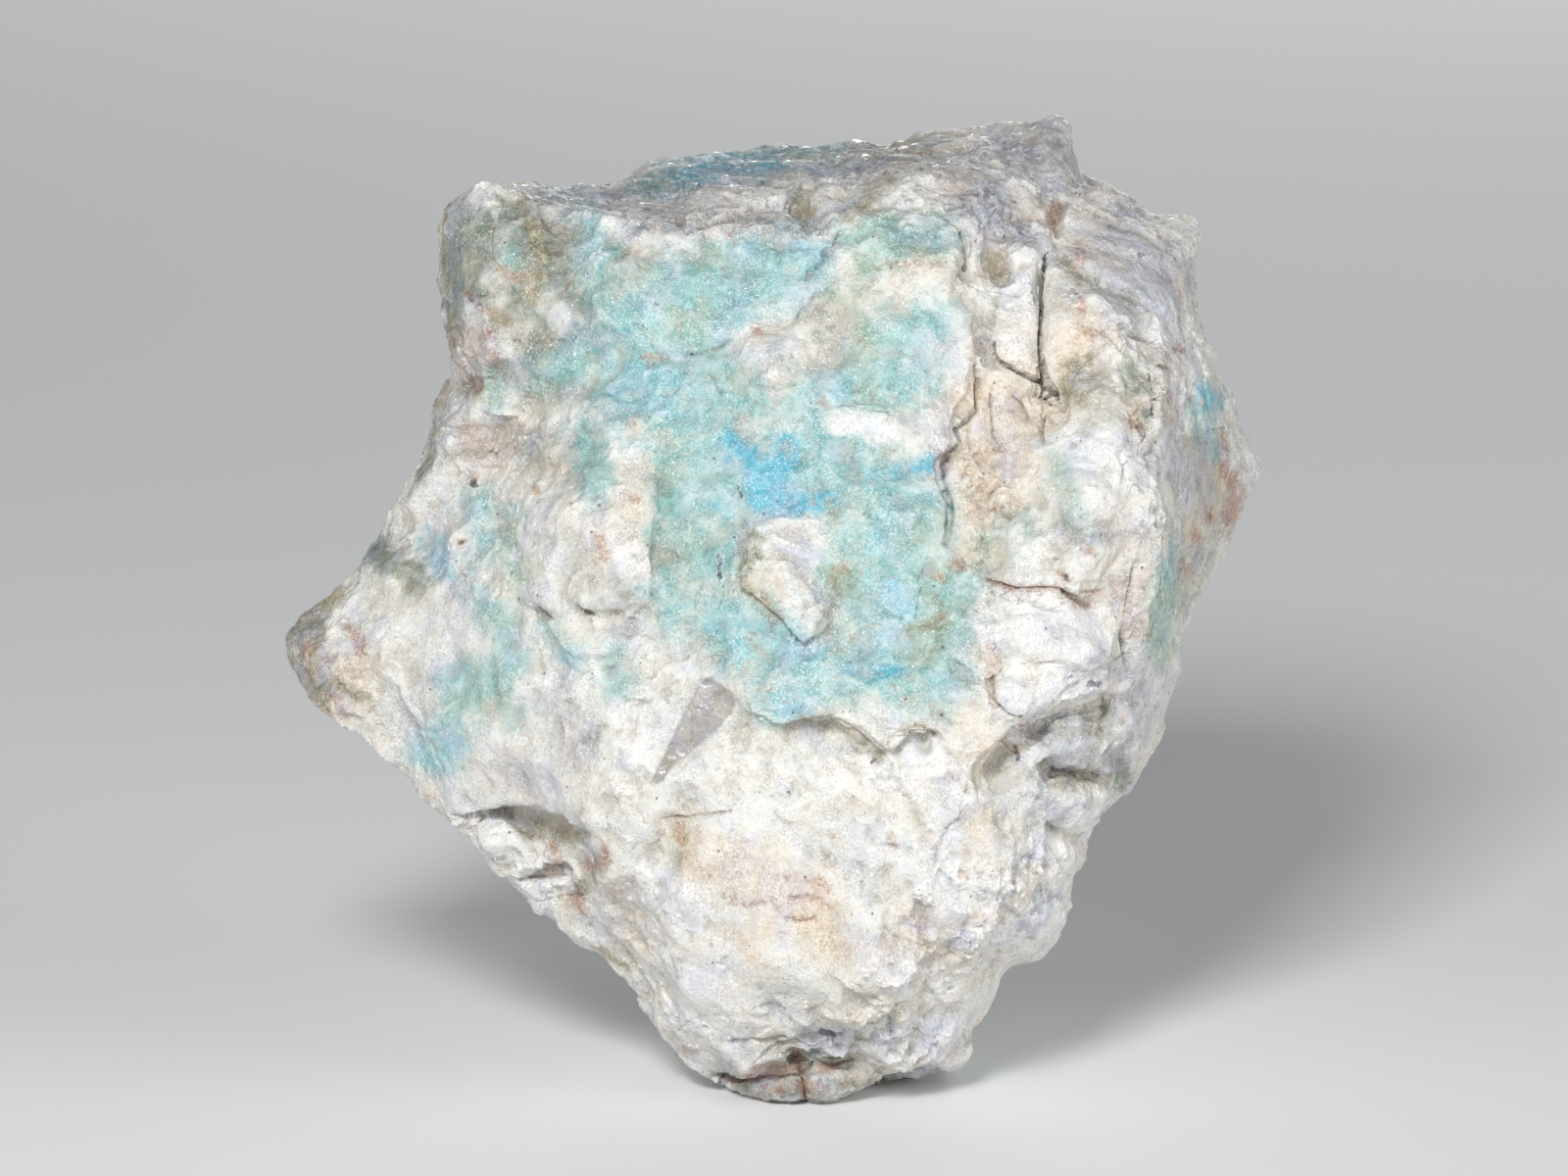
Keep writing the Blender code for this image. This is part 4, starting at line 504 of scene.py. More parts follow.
# Ledges of the solid, made crisp: the lip's (across, up) points, the height added, and the side that is low.
LEDGES: tuple = (
    (((20.5, 0.6), (23.0, 0.2), (26.0, 0.0), (28.0, -0.2), (30.0, -1.0), (32.0, -0.8)), 0.5, Side.RIGHT),
    (((33.6, -10.4), (31.0, -10.6), (28.5, -11.3), (26.0, -12.3), (24.0, -13.3), (22.0, -14.8),
      (20.5, -16.5), (18.5, -18.3)), 0.8, Side.LEFT),
    (((-4.0, -10.5), (-3.0, -12.8), (-0.5, -13.6), (2.5, -13.0), (5.5, -13.1), (8.0, -14.5), (9.7, -16.2),
      (11.0, -15.5), (12.5, -14.3), (14.5, -14.2), (16.0, -14.8)), 0.8, Side.RIGHT),
    (((-27.0, 0.5), (-25.0, -1.0), (-22.5, -1.8), (-20.0, -2.0), (-16.5, -2.0),
      (-14.6, -1.4)), 0.15, Side.RIGHT),
    (((-24.6, -3.5), (-23.0, -5.0), (-22.0, -6.4), (-20.0, -7.4), (-18.0, -7.1),
      (-16.0, -6.0)), 0.3, Side.RIGHT),
    (((-13.4, 0.4), (-13.4, 3.5), (-12.8, 8.0), (-13.2, 13.0)), 0.4, Side.RIGHT),
    (((-33.4, -23.4), (-31.0, -22.6), (-28.0, -22.0), (-25.0, -22.0), (-22.0, -23.0),
      (-20.3, -25.0)), 0.8, Side.RIGHT),
    (((-2.7, 6.2), (-3.5, 5.5), (-3.8, 4.0), (-3.7, 2.5), (-4.3, 1.5), (-4.2, 0.3), (-3.0, -0.3),
      (-2.0, -1.2), (-1.0, -2.5), (0.0, -3.5), (0.5, -4.5), (2.0, -5.2), (3.2, -4.5),
      (3.6, -3.0)), 0.7, Side.RIGHT),
    (((-3.6, -48.6), (-1.0, -48.3), (1.0, -47.6), (3.4, -46.9), (6.3, -45.9)), 0.6, Side.RIGHT),
)


# For the sides, the back and the underside: the size of a zone's patches, and how rare they are.
HIDDEN: dict[Zone, tuple[float, float]] = {
    Zone.SEA: (22.0, 0.35), Zone.SKY: (9.0, 0.7), Zone.MINT: (16.0, 0.45), Zone.TEAL: (9.0, 0.75),
    Zone.BLUE: (8.0, 0.95), Zone.LILAC: (14.0, 0.3), Zone.GREY: (18.0, 0.25), Zone.OLIVE: (9.0, 0.7),
    Zone.CREAM: (15.0, 0.3), Zone.MOSS: (16.0, 0.5), Zone.WHITE: (13.0, 0.25), Zone.PINK: (10.0, 0.6),
    Zone.RUST: (7.0, 0.85), Zone.DIRT: (4.0, 1.1),
}
NOWHERE = (8.0, 2.0)  # for the zones that only the front has: rarer than the noise ever gets


def eased(values: np.ndarray, low: float, high: float) -> np.ndarray:
    """A smooth rise from 0 at low to 1 at high.

    Args:
        values: the values to ease.
        low: the value that gives 0, as does everything short of it.
        high: the value that gives 1, as does everything past it.

    Returns:
        One number from 0 to 1 for each value.
    """
    part = np.clip((values - low) / (high - low), 0.0, 1.0)
    return part * part * (3.0 - 2.0 * part)


def linear(colour: str) -> tuple[float, float, float, float]:
    """A screen colour as the light it sends back, by the usual curve of screens.

    Args:
        colour: the colour as on a screen, such as "#EDEBE6".

    Returns:
        Red, green, blue and a full alpha, each from 0 to 1.
    """
    parts = (int(colour[i:i + 2], 16) / 255 for i in (1, 3, 5))
    red, green, blue = (p / 12.92 if p <= 0.04045 else ((p + 0.055) / 1.055) ** 2.4 for p in parts)
    return (red, green, blue, 1.0)


@dataclass(frozen=True)
class Reading:
    """The plane in which the front is read: across, up, and out towards the viewer, in millimetres."""

    lean: float = math.radians(12.0)
    rest_point: tuple[float, float, float] = (-0.94, 3.12, -48.2)

    @property
    def axes(self) -> np.ndarray:
        """The directions across, up and out, as rows, in the stone's own frame."""
        fall, rise = math.sin(self.lean), math.cos(self.lean)
        return np.array(((1.0, 0.0, 0.0), (0.0, fall, rise), (0.0, -rise, fall)))

    def read(self, places: np.ndarray) -> np.ndarray:
        """Places of the stone, in metres, as (across, up, out) in millimetres."""
        return (places / MM + self.rest_point) @ self.axes.T

    def turned(self, directions: np.ndarray) -> np.ndarray:
        """Directions in the stone's frame as (across, up, out)."""
        return directions @ self.axes.T

    def place(self, across: float, up: float, out: float) -> Vector:
        """A reading as a point in the stone's frame, in metres."""
        return Vector((np.array((across, up, out)) @ self.axes - self.rest_point) * MM)


class Noise:
    """Repeatable noise in space, the same on every run. Places are in millimetres, one a row."""

    AXIS_FACTORS = (73856093, 19349663, 83492791)  # large primes, so that neighbouring cells differ
    SALT_FACTOR = 1640531513
    STIRS = ((15, 2246822519), (13, 3266489917))  # by how many bits the key is folded, and then multiplied
    LAST_FOLD = 16
    WORD = 0xFFFFFFFF
    LIFT = 1.6  # brings the rounded noise to about -1 to 1

    @classmethod
    def scattered(cls, cells: np.ndarray, salt: int) -> np.ndarray:
        """Scatters numbers over cells.

        Args:
            cells: whole-number cells, one a row.
            salt: picks the pattern.

        Returns:
            A number from 0 to 1 for each cell.
        """
        across, along, up = (cells[..., axis] * factor for axis, factor in enumerate(cls.AXIS_FACTORS))
        key = ((across ^ along ^ up ^ (salt * cls.SALT_FACTOR)) & cls.WORD).astype(np.uint64)
        for fold, factor in cls.STIRS:
            key = ((key ^ (key >> np.uint64(fold))) * np.uint64(factor)) & np.uint64(cls.WORD)
        return (key ^ (key >> np.uint64(cls.LAST_FOLD))) / (cls.WORD + 1.0)

    @classmethod
    def triples(cls, cells: np.ndarray, salt: int) -> np.ndarray:
        """Three scattered numbers for each cell, one for each axis."""
        return np.stack([cls.scattered(cells, salt + axis) for axis in range(3)], axis=1)

    @classmethod
    def smooth(cls, places: np.ndarray, size: float, salt: int) -> np.ndarray:
        """Rounded noise of about -1 to 1.

        Args:
            places: the points.
            size: width of one rise or dip.
            salt: picks the pattern.

        Returns:
            One value for each point.
        """
        spots = places / size
        base = np.floor(spots).astype(np.int64)
        part = spots - base
        blend = part * part * part * (part * (part * 6.0 - 15.0) + 10.0)
        total = np.zeros(len(places))
        for corner in np.ndindex(2, 2, 2):
            slope = cls.triples(base + corner, salt * 3) * 2.0 - 1.0
            weight = np.prod(np.where(np.array(corner) == 1, blend, 1.0 - blend), axis=1)
            total += weight * np.einsum("ij,ij->i", slope, part - corner)
        return total * cls.LIFT

    @classmethod
    def layered(cls, places: np.ndarray, size: float, salt: int, layers: int = 3) -> np.ndarray:
        """Rounded noise with finer noise on it, each layer half the size and half the height of the last."""
        return sum(cls.smooth(places, size / 2**i, salt + i) / 2**i for i in range(layers))

    @classmethod
    def strayed(cls, read: np.ndarray, stray: Stray) -> np.ndarray:
        """Readings moved a little, so that what is drawn over them wanders.

        Args:
            read: the readings.
            stray: the way in which they stray.

        Returns:
            The moved readings, with as many axes as the stray has patterns.
        """
        amount, size, salts = stray.value
        moves = np.stack([cls.smooth(read, size, salt) for salt in salts], axis=1)
        return read[:, :len(salts)] + amount * moves

    @classmethod
    def stepped(
        cls, places: np.ndarray, size: float, salt: int, treads: float, riser: float = 0.2
    ) -> np.ndarray:
        """Terraces of about -1 to 1: flat treads with steep risers between them.

        Args:
            places: the points.
            size: width of one rise or dip of the terraces.
            salt: picks the pattern.
            treads: how many treads there are from 0 to 1.
            riser: the share of each tread that the riser takes.

        Returns:
            One value for each point.
        """
        climb = cls.layered(places, size, salt) * treads
        tread = np.floor(climb)
        return (tread + eased(climb - tread, 1.0 - riser, 1.0)) / treads

    @classmethod
    def broken(cls, places: np.ndarray, size: float, salt: int) -> tuple[np.ndarray, np.ndarray, np.ndarray]:
        """Broken facets: cells, each of them a small plane with its own tilt.

        Args:
            places: the points.
            size: width of a facet.
            salt: picks the pattern.

        Returns:
            The facet's height at each point, of about -0.5 to 0.5, the distance to the facet's middle, and
            how far that point is from the facet's edge, both in facet widths.
        """
        middle_salt, tilt_salt = salt + 7, salt + 31
        spots = places / size
        base = np.floor(spots).astype(np.int64)
        nearest = np.full(len(places), np.inf)
        second = np.full(len(places), np.inf)
        owner = base.copy()
        reach = np.zeros_like(spots)
        for step in np.ndindex(3, 3, 3):
            cell = base + (np.array(step) - 1)
            gap = spots - (cell + cls.triples(cell, middle_salt))
            far = np.linalg.norm(gap, axis=1)
            closer = far < nearest
            second = np.where(closer, nearest, np.minimum(second, far))
            nearest = np.where(closer, far, nearest)
            owner[closer] = cell[closer]
            reach[closer] = gap[closer]
        tilt = cls.triples(owner, tilt_salt) - 0.5
        return np.einsum("ij,ij->i", tilt, reach), nearest, second - nearest

    @classmethod
    def bowls(cls, places: np.ndarray, size: float, salt: int) -> np.ndarray:
        """Round bowls side by side: 0 at the middle of each, and 1 at its rim."""
        return np.minimum(cls.broken(places, size, salt)[1], 1.0) ** 2


def boxed(points: np.ndarray, path: np.ndarray, reach: float) -> np.ndarray:
    """Which points lie within reach of the box round a line."""
    return ((points > path.min(axis=0) - reach) & (points < path.max(axis=0) + reach)).all(axis=1)


def distance_to_line(points: np.ndarray, line: tuple, reach: float = 4.0) -> np.ndarray:
    """How far each point is from a line.

    Args:
        points: (across, up) points, one a row.
        line: the line's own points; one point alone is a spot.
        reach: the distance beyond which a point counts as infinitely far.

    Returns:
        One distance for each point.
    """
    path = np.array(line, float)
    far = np.full(len(points), np.inf)
    chosen = boxed(points, path, reach)
    near = points[chosen]
    if len(path) == 1:
        far[chosen] = np.linalg.norm(near - path[0], axis=1)
        return far
    nearest = np.full(len(near), np.inf)
    for start, end in zip(path, path[1:]):
        step = end - start
        along = np.clip((near - start) @ step / (step @ step), 0.0, 1.0)
        nearest = np.minimum(nearest, np.linalg.norm(near - start - along[:, None] * step, axis=1))
    far[chosen] = nearest
    return far


def depth_inside(points: np.ndarray, outline: tuple, reach: float = 2.0) -> np.ndarray:
    """How deep each point lies inside a closed outline.

    Args:
        points: (across, up) points, one a row.
        outline: the corners of the outline.
        reach: the distance outside the outline beyond which a point counts as infinitely far.

    Returns:
        One depth for each point, negative outside.
    """
    path = np.array((*outline, outline[0]), float)
    chosen = boxed(points, path, reach)
    near = points[chosen]
    inside = np.zeros(len(near), bool)
    for (x0, y0), (x1, y1) in zip(path, path[1:]):
        if y0 != y1:
            spans = (near[:, 1] < y0) != (near[:, 1] < y1)
            inside ^= spans & (near[:, 0] < x0 + (x1 - x0) * (near[:, 1] - y0) / (y1 - y0))
    gap = distance_to_line(near, path, np.inf)
    depth = np.full(len(points), -np.inf)
    depth[chosen] = np.where(inside, gap, -gap)
    return depth


def side_of_line(points: np.ndarray, line: tuple) -> tuple[np.ndarray, np.ndarray]:
    """Where each point lies beside a line.

    Args:
        points: (across, up) points, one a row.
        line: the line's own points.

    Returns:
        The distance from the line, positive on its left, and how far along it the nearest place is from the
        nearer end.
    """
    path = np.array(line, float)
    lengths = np.linalg.norm(path[1:] - path[:-1], axis=1)
    starts = np.concatenate(([0.0], np.cumsum(lengths)))
    nearest = np.full(len(points), np.inf)
    signed = np.zeros(len(points))
    from_end = np.zeros(len(points))
    for i, (start, end) in enumerate(zip(path, path[1:])):
        step = end - start
        along = np.clip((points - start) @ step / (step @ step), 0.0, 1.0)
        far = np.linalg.norm(points - start - along[:, None] * step, axis=1)
        closer = far < nearest
        nearest = np.where(closer, far, nearest)
        turn = np.sign(step[0] * (points[:, 1] - start[1]) - step[1] * (points[:, 0] - start[0]))
        signed = np.where(closer, far * turn, signed)
        reached = starts[i] + along * lengths[i]
        from_end = np.where(closer, np.minimum(reached, starts[-1] - reached), from_end)
    return signed, from_end


def zone_depth(points: np.ndarray, zone: Zone) -> np.ndarray:
    """Depth inside a zone's strokes.

    Args:
        points: readings, of which only (across, up) count.
        zone: the zone.

    Returns:
        One depth for each point, from OUTSIDE to INSIDE, in millimetres.
    """
    depth = np.full(len(points), OUTSIDE)
    for width, *line in STROKES[zone]:
        if width:
            inside = width - distance_to_line(points[:, :2], line, width - OUTSIDE)
        else:
            inside = depth_inside(points[:, :2], line, -OUTSIDE)
        depth = np.maximum(depth, inside)
    return np.minimum(depth, INSIDE)


@dataclass
class StoneSurface:
    """The stone's own surface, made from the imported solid. Sizes and heights are in millimetres."""

    name: str = "stone_surface"
    fineness: float = 0.36  # side of a face on the front
    ease_rounds: int = 8
    back_kept: float = 0.14  # share of the faces that is kept where the front isn't seen
    back_levels: int = 4  # steps from the front to the thinned back
    most_triangles: int = 196_000
    seam_reach: float = 0.5  # how far from a crack the faces are made finer
    speck_reach: float = 0.35  # the same for a dark speck
    crease: float = math.radians(38.0)  # edges steeper than this stay sharp
    unseen: tuple = (-0.35, -0.05)  # how squarely the thinned faces, and those left whole, look forward
    split_from: float = -0.1  # how squarely a face has to look forward to be made finer
    front_from: tuple = (0.0, 0.35)  # how squarely a corner does where the front's relief starts and is full
    top_from: tuple = (0.45, 0.75)  # the same upwards, for the top's layers
    paint_from: tuple = (-0.15, 0.12)  # the same forward, for the front's colours
    zone_fade: tuple = (-1.0, 2.0)  # depths in a zone at which its relief starts and is full
    calming: float = 0.6  # the share of the relief that smooth faces lose
    coarsening: float = 0.7  # the share that granular faces gain
    scallops: tuple = ((13.0, 2.6), (6.0, 1.5), (2.8, 0.6))  # size and height of each order
    scallop_stretch: tuple = (0.8, 1.0, 1.25)
    facets: tuple = ((6.5, 0.6), (3.1, 0.4), (1.5, 0.3), (0.8, 0.16))  # size and height of each order
    terraces: tuple = ((11.0, 0.42, 3.0), (4.5, 0.26, 3.0))  # size, height and number of treads
    lumps: tuple = (4.6, 1.3)  # size and height of the lumps on granular faces
    grains: tuple = ((1.8, 0.42), (0.9, 0.2))  # size and height of the coarse and the fine grain
    strata: tuple = (2.2, 0.3, 2.0)  # size, height and number of treads of the layers on top
    strata_stretch: tuple = (0.16, 0.5, 1.0)
    lip: float = 1.6  # how far behind a ledge's lip its crest reaches
    foot: float = 1.0  # how far before it the foot reaches
    groove: float = 0.22  # least half width of a crack, so that the mesh can show it
    valley: tuple = (0.9, 0.2)  # half width and depth of the hollow along a crack
    crack_cells: float = 17.0  # distance between the cracks of the sides and the back

    def build(self, packed: bpy.types.Object, reading: Reading, finish: "StoneFinish") -> bpy.types.Object:
        """Makes the surface.

        Args:
            packed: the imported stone.
            reading: the plane in which strokes and seams are read.
            finish: the stone's finish.

        Returns:
            The finished piece.
        """
        stone = bpy.data.objects.new(self.name, packed.data.copy())
        stone.data.name = self.name
        bpy.context.scene.collection.objects.link(stone)
        self._weld(stone)
        self._modified(stone, "REMESH", mode="VOXEL", voxel_size=self.fineness * MM)
        self._modified(stone, "SMOOTH", factor=0.5, iterations=self.ease_rounds)
        self._thin_back(stone, reading)
        self._split_near_seams(stone, reading)
        self._carve(stone, reading)
        self._modified(stone, "DECIMATE", ratio=min(1.0, self.most_triangles / len(stone.data.polygons)))
        self._paint(stone, reading)
        stone.data.materials.clear()
        stone.data.materials.append(finish.material())
        stone.data.shade_smooth()
        stone.data.set_sharp_from_angle(angle=self.crease)
        LOG.info("%s: %d triangles", stone.name, sum(len(p.vertices) - 2 for p in stone.data.polygons))
        return stone

    @staticmethod
    def _weld(stone: bpy.types.Object) -> None:
        """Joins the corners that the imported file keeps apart.

        Args:
            stone: the piece.
        """
        shape = bmesh.new()
        shape.from_mesh(stone.data)
        bmesh.ops.remove_doubles(shape, verts=shape.verts, dist=0.001 * MM)
        shape.to_mesh(stone.data)
        shape.free()

    @staticmethod
    def _modified(stone: bpy.types.Object, kind: str, **settings: object) -> None:
        """Applies one modifier to the piece's mesh.

        Args:
            stone: the piece.
            kind: the modifier's Blender type.
            settings: the modifier's own settings.
        """
        modifier = stone.modifiers.new(kind.lower(), kind)
        for name, value in settings.items():
            setattr(modifier, name, value)
        bpy.context.view_layer.update()
        graph = bpy.context.evaluated_depsgraph_get()
        stone.data = bpy.data.meshes.new_from_object(stone.evaluated_get(graph))
        stone.modifiers.clear()

    @staticmethod
    def _corners(mesh: bpy.types.Mesh) -> tuple[np.ndarray, np.ndarray]:
        """Reads the corners of a mesh.

        Args:
            mesh: the mesh.

        Returns:
            Every corner's place, in metres, and its normal.
        """
        places = np.empty(len(mesh.vertices) * 3)
        mesh.vertices.foreach_get("co", places)
        normals = np.empty(len(mesh.vertices) * 3)
        mesh.vertex_normals.foreach_get("vector", normals)
        return places.reshape(-1, 3), normals.reshape(-1, 3)

    def _thin_back(self, stone: bpy.types.Object, reading: Reading) -> None:
        """Keeps fewer faces where the surface turns away from the front.

        Args:
            stone: the piece.
            reading: the plane that the front faces.
        """
        _, normals = self._corners(stone.data)
        away = 1.0 - eased(reading.turned(normals)[:, 2], *self.unseen)
        group = stone.vertex_groups.new(name="away")
        for level in range(1, self.back_levels + 1):
            chosen = np.nonzero(np.round(away * self.back_levels) == level)[0]
            if len(chosen):
                group.add(chosen.tolist(), level / self.back_levels, "REPLACE")
        ratio = 1.0 - float((away > 0.5).mean()) * (1.0 - self.back_kept)
        self._modified(stone, "DECIMATE", ratio=ratio, vertex_group="away", vertex_group_factor=1.0)
        stone.vertex_groups.clear()

    def _split_near_seams(self, stone: bpy.types.Object, reading: Reading) -> None:
        """Makes the faces finer along the cracks and round the small specks.

        Args:
            stone: the piece.
            reading: the plane in which the cracks are read.
        """
        shape = bmesh.new()
        shape.from_mesh(stone.data)
        shape.faces.ensure_lookup_table()
        middles = np.array([face.calc_center_median() for face in shape.faces])
        facing = reading.turned(np.array([face.normal for face in shape.faces]))[:, 2]
        flat = reading.read(middles)[:, :2]
        near = np.zeros(len(middles), bool)
        for _, _, *line in SEAMS:
            near |= distance_to_line(flat, line) < self.seam_reach
        for width, *line in STROKES[Zone.DIRT]:
            near |= distance_to_line(flat, line) < width + self.speck_reach
        near &= facing > self.split_from
        edges = {edge for index in np.nonzero(near)[0] for edge in shape.faces[index].edges}
        bmesh.ops.subdivide_edges(shape, edges=list(edges), cuts=2, use_grid_fill=True)
        bmesh.ops.triangulate(shape, faces=shape.faces)
        shape.to_mesh(stone.data)
        shape.free()
        LOG.info("%s: %d of %d faces split along the cracks", stone.name, int(near.sum()), len(near))

    def _carve(self, stone: bpy.types.Object, reading: Reading) -> None:
        """Breaks up the surface, then draws its plates, ledges and cracks, and keeps it above the floor.

        Args:
            stone: the piece.
            reading: the plane in which the strokes are read.
        """
        places, normals = self._corners(stone.data)
        facing = reading.turned(normals)[:, 2]
        front = eased(facing, *self.front_from)
        above = eased(normals[:, 2], *self.top_from) * front
        rise = self._broken_relief(reading.read(places), facing, front, above)
        places = places + normals * (rise * MM)[:, None]
        rise = self._drawn_relief(reading.read(places), front)
        moved = places + normals * (rise * MM)[:, None]
        moved[:, 2] = np.maximum(moved[:, 2], 0.0)
        stone.data.vertices.foreach_set("co", moved.ravel())
        stone.data.update()

    def _broken_relief(
        self, read: np.ndarray, facing: np.ndarray, front: np.ndarray, above: np.ndarray
    ) -> np.ndarray:
        """The relief that a broken rock has all over.

        Args:
            read: the readings of the corners.
            facing: how squarely each of them faces the viewer, from -1 to 1.
            front: how much of it belongs to the front, from 0 to 1.
            above: how much of it belongs to the top, from 0 to 1.

        Returns:
            How far each corner rises, in millimetres.
        """
        calm = 1.0 - self.calming * eased(zone_depth(read, Zone.CALM), *self.zone_fade) * front
        coarse = eased(zone_depth(read, Zone.COARSE), *self.zone_fade) * front
        rough = calm + self.coarsening * coarse
        square_on = 0.15 + 0.85 * eased(np.abs(facing), 0.15, 0.7)
        bent = Noise.strayed(read, Stray.RELIEF)
        rise = np.zeros(len(read))
        for order, (size, height) in enumerate(self.scallops):
            bowl = Noise.bowls(bent @ self._turn(order) * self.scallop_stretch, size, Salt.SCALLOP + order)
            rise += height * rough * square_on * (bowl - 0.3)
        for order, (size, height) in enumerate(self.facets):
            rise += height * rough * Noise.broken(bent, size, Salt.FACET + order)[0]
        for order, (size, height, treads) in enumerate(self.terraces):
            rise += height * calm * Noise.stepped(bent, size, Salt.TERRACE + 5 * order, treads)
        size, height = self.lumps
        rise += height * coarse * Noise.broken(bent @ self._turn(1), size, Salt.LUMP)[0]
        grain_salts = (Salt.COARSE_GRAIN, Salt.FINE_GRAIN)
        for (size, height), place, salt in zip(self.grains, (bent, read), grain_salts):
            rise += (0.12 + 0.88 * coarse) * height * (0.4 - Noise.bowls(place, size, salt))
        size, height, treads = self.strata
        return rise + height * above * Noise.stepped(read * self.strata_stretch, size, Salt.STRATUM, treads)

    def _drawn_relief(self, read: np.ndarray, front: np.ndarray) -> np.ndarray:
        """The plates, ridges, ledges and cracks that are drawn on the front.

        Args:
            read: the readings of the corners.
            front: how much of each corner belongs to the front, from 0 to 1.

        Returns:
            How far each corner rises, in millimetres.
        """
        rise = np.zeros(len(read))
        strayed = Noise.strayed(read, Stray.LEDGE)
        for height, slope, soft, *outline in PLATES:
            slab = height + (strayed - np.mean(outline, axis=0)) @ slope
            rise += slab * eased(depth_inside(strayed, outline), -0.5 * soft, 0.5 * soft) * front
        for height, width, *line in RIDGES:
            rise += height * np.clip(1.0 - distance_to_line(strayed, line, width) / width, 0.0, 1.0) * front
        for line, height, low in LEDGES:
            signed, from_end = side_of_line(strayed, line)
            signed = signed * low.value
            crest = eased(signed, -0.3, 0.3) * np.exp(-np.maximum(signed, 0.0) / self.lip)
            drop = eased(-signed, -0.3, 0.3) * np.exp(-np.maximum(-signed, 0.0) / self.foot)
            rise += height * (0.6 * crest - 0.8 * drop) * eased(from_end, 0.0, 2.0) * front
        valley_width, valley_depth = self.valley
        straighter = read[:, :2] + (strayed - read[:, :2]) * 0.4
        for width, depth, *line in SEAMS:
            near = distance_to_line(straighter, line)
            groove = np.clip(1.0 - near / max(width * 1.5, self.groove), 0.0, 1.0)
            valley = np.clip(1.0 - near / valley_width, 0.0, 1.0) ** 2
            rise -= (depth * groove + valley_depth * valley) * front
        return rise

    @staticmethod
    def _turn(order: int) -> np.ndarray:
        """A turn of the axes, another for each order, so that no two orders line up.

        Args:
            order: the order, from 0.

        Returns:
            The turn about the out axis, as a matrix.
        """
        angle = 0.7 + 1.9 * order
        near, far = math.cos(angle), math.sin(angle)
        return np.array(((near, -far, 0.0), (far, near, 0.0), (0.0, 0.0, 1.0)))

    @staticmethod
    def _hollows(mesh: bpy.types.Mesh, places: np.ndarray, normals: np.ndarray, rounds: int) -> np.ndarray:
        """How far each corner lies below its neighbourhood, in millimetres.

        Args:
            mesh: the surface.
            places: its corners, in metres.
            normals: their normals.
            rounds: how many rings of neighbours are evened out.

        Returns:
            Positive values in hollows and negative ones on edges.
        """
        ends = np.empty(len(mesh.edges) * 2, np.int64)
        mesh.edges.foreach_get("vertices", ends)
        left, right = ends.reshape(-1, 2).T
        count = np.bincount(ends, minlength=len(places))[:, None]
        even = places.copy()
        for _ in range(rounds):
            total = np.stack([
                np.bincount(left, across[right], len(places)) + np.bincount(right, across[left], len(places))
                for across in even.T
            ], axis=1)
            even = 0.5 * even + 0.5 * total / count
        return np.einsum("ij,ij->i", even - places, normals) / MM

    def _paint(self, stone: bpy.types.Object, reading: Reading) -> None:
        """Writes each zone's depth, the cracks and the hollows on the surface, for the finish to read.

        Args:
            stone: the piece.
            reading: the plane in which the strokes are read.
        """
        mesh = stone.data
        places, normals = self._corners(mesh)
        read = reading.read(places)
        front = eased(reading.turned(normals)[:, 2], *self.paint_from)
        values = self._zone_values(read, front)
        values.update(self._crack_values(read, front))
        for name, rounds, most in (("hollow", 10, 1.0), ("deep_hollow", 60, 2.0)):
            values[name] = np.clip(self._hollows(mesh, places, normals, rounds), -most, most)
        for name, numbers in values.items():
            layer = mesh.attributes.new(name, "FLOAT", "POINT")
            layer.data.foreach_set("value", numbers.astype(np.float32))

    @staticmethod
    def _zone_values(read: np.ndarray, front: np.ndarray) -> dict[str, np.ndarray]:
        """Each zone's depth, drawn on the front and scattered where the front isn't seen.

        Args:
            read: the readings of the corners.
            front: how much of each corner belongs to the front, from 0 to 1.

        Returns:
            One depth for each corner, in millimetres, under the zone's name.
        """
        loose = Noise.strayed(read, Stray.PATCH) + Noise.strayed(read, Stray.PATCH_RIM) - read[:, :2]
        fine = Noise.strayed(read, Stray.SPECK)
        unseen = front < 1.0
        values = {}
        for order, zone in enumerate(Zone):
            exact = zone in (Zone.DIRT, Zone.RUST, Zone.QUARTZ)
            size, level = HIDDEN.get(zone, NOWHERE)
            hidden = np.zeros(len(read))
            patches = Noise.layered(read[unseen], size, Salt.HIDDEN_ZONE + 10 * order)
            hidden[unseen] = 3.0 * (patches - level)
            drawn = zone_depth(fine if exact else loose, zone)
            values[zone.value] = front * drawn + (1.0 - front) * np.clip(hidden, OUTSIDE, INSIDE)
        return values

    def _crack_values(self, read: np.ndarray, front: np.ndarray) -> dict[str, np.ndarray]:
        """The distance from the nearest crack, and how dark that crack is.

        Args:
            read: the readings of the corners.
            front: how much of each corner belongs to the front, from 0 to 1.

        Returns:
            The distances, in millimetres, as "crack", and the tones from 0 to 1 as "crack_tone".
        """
        farthest = 2.0
        crack = np.full(len(read), farthest)
        tone = np.full(len(read), 0.3)
        strayed = Noise.strayed(read, Stray.CRACK)
        for width, depth, *line in SEAMS:
            gap = distance_to_line(strayed, line, farthest + width) - 0.6 * width
            tone = np.where(gap < crack, min(1.0, 0.2 + 0.6 * depth), tone)
            crack = np.minimum(crack, gap)
        bent = Noise.strayed(read, Stray.HIDDEN_CRACK)
        edge = Noise.broken(bent, self.crack_cells, Salt.HIDDEN_CRACK)[2] * self.crack_cells / 2
        fading = 1.2 * eased(Noise.smooth(read, 9.0, Salt.CRACK_FADE), -0.2, 0.3)
        hidden = np.minimum(edge - 0.1 + fading, farthest)
        return {"crack": np.where(front > 0.5, crack, hidden), "crack_tone": tone}


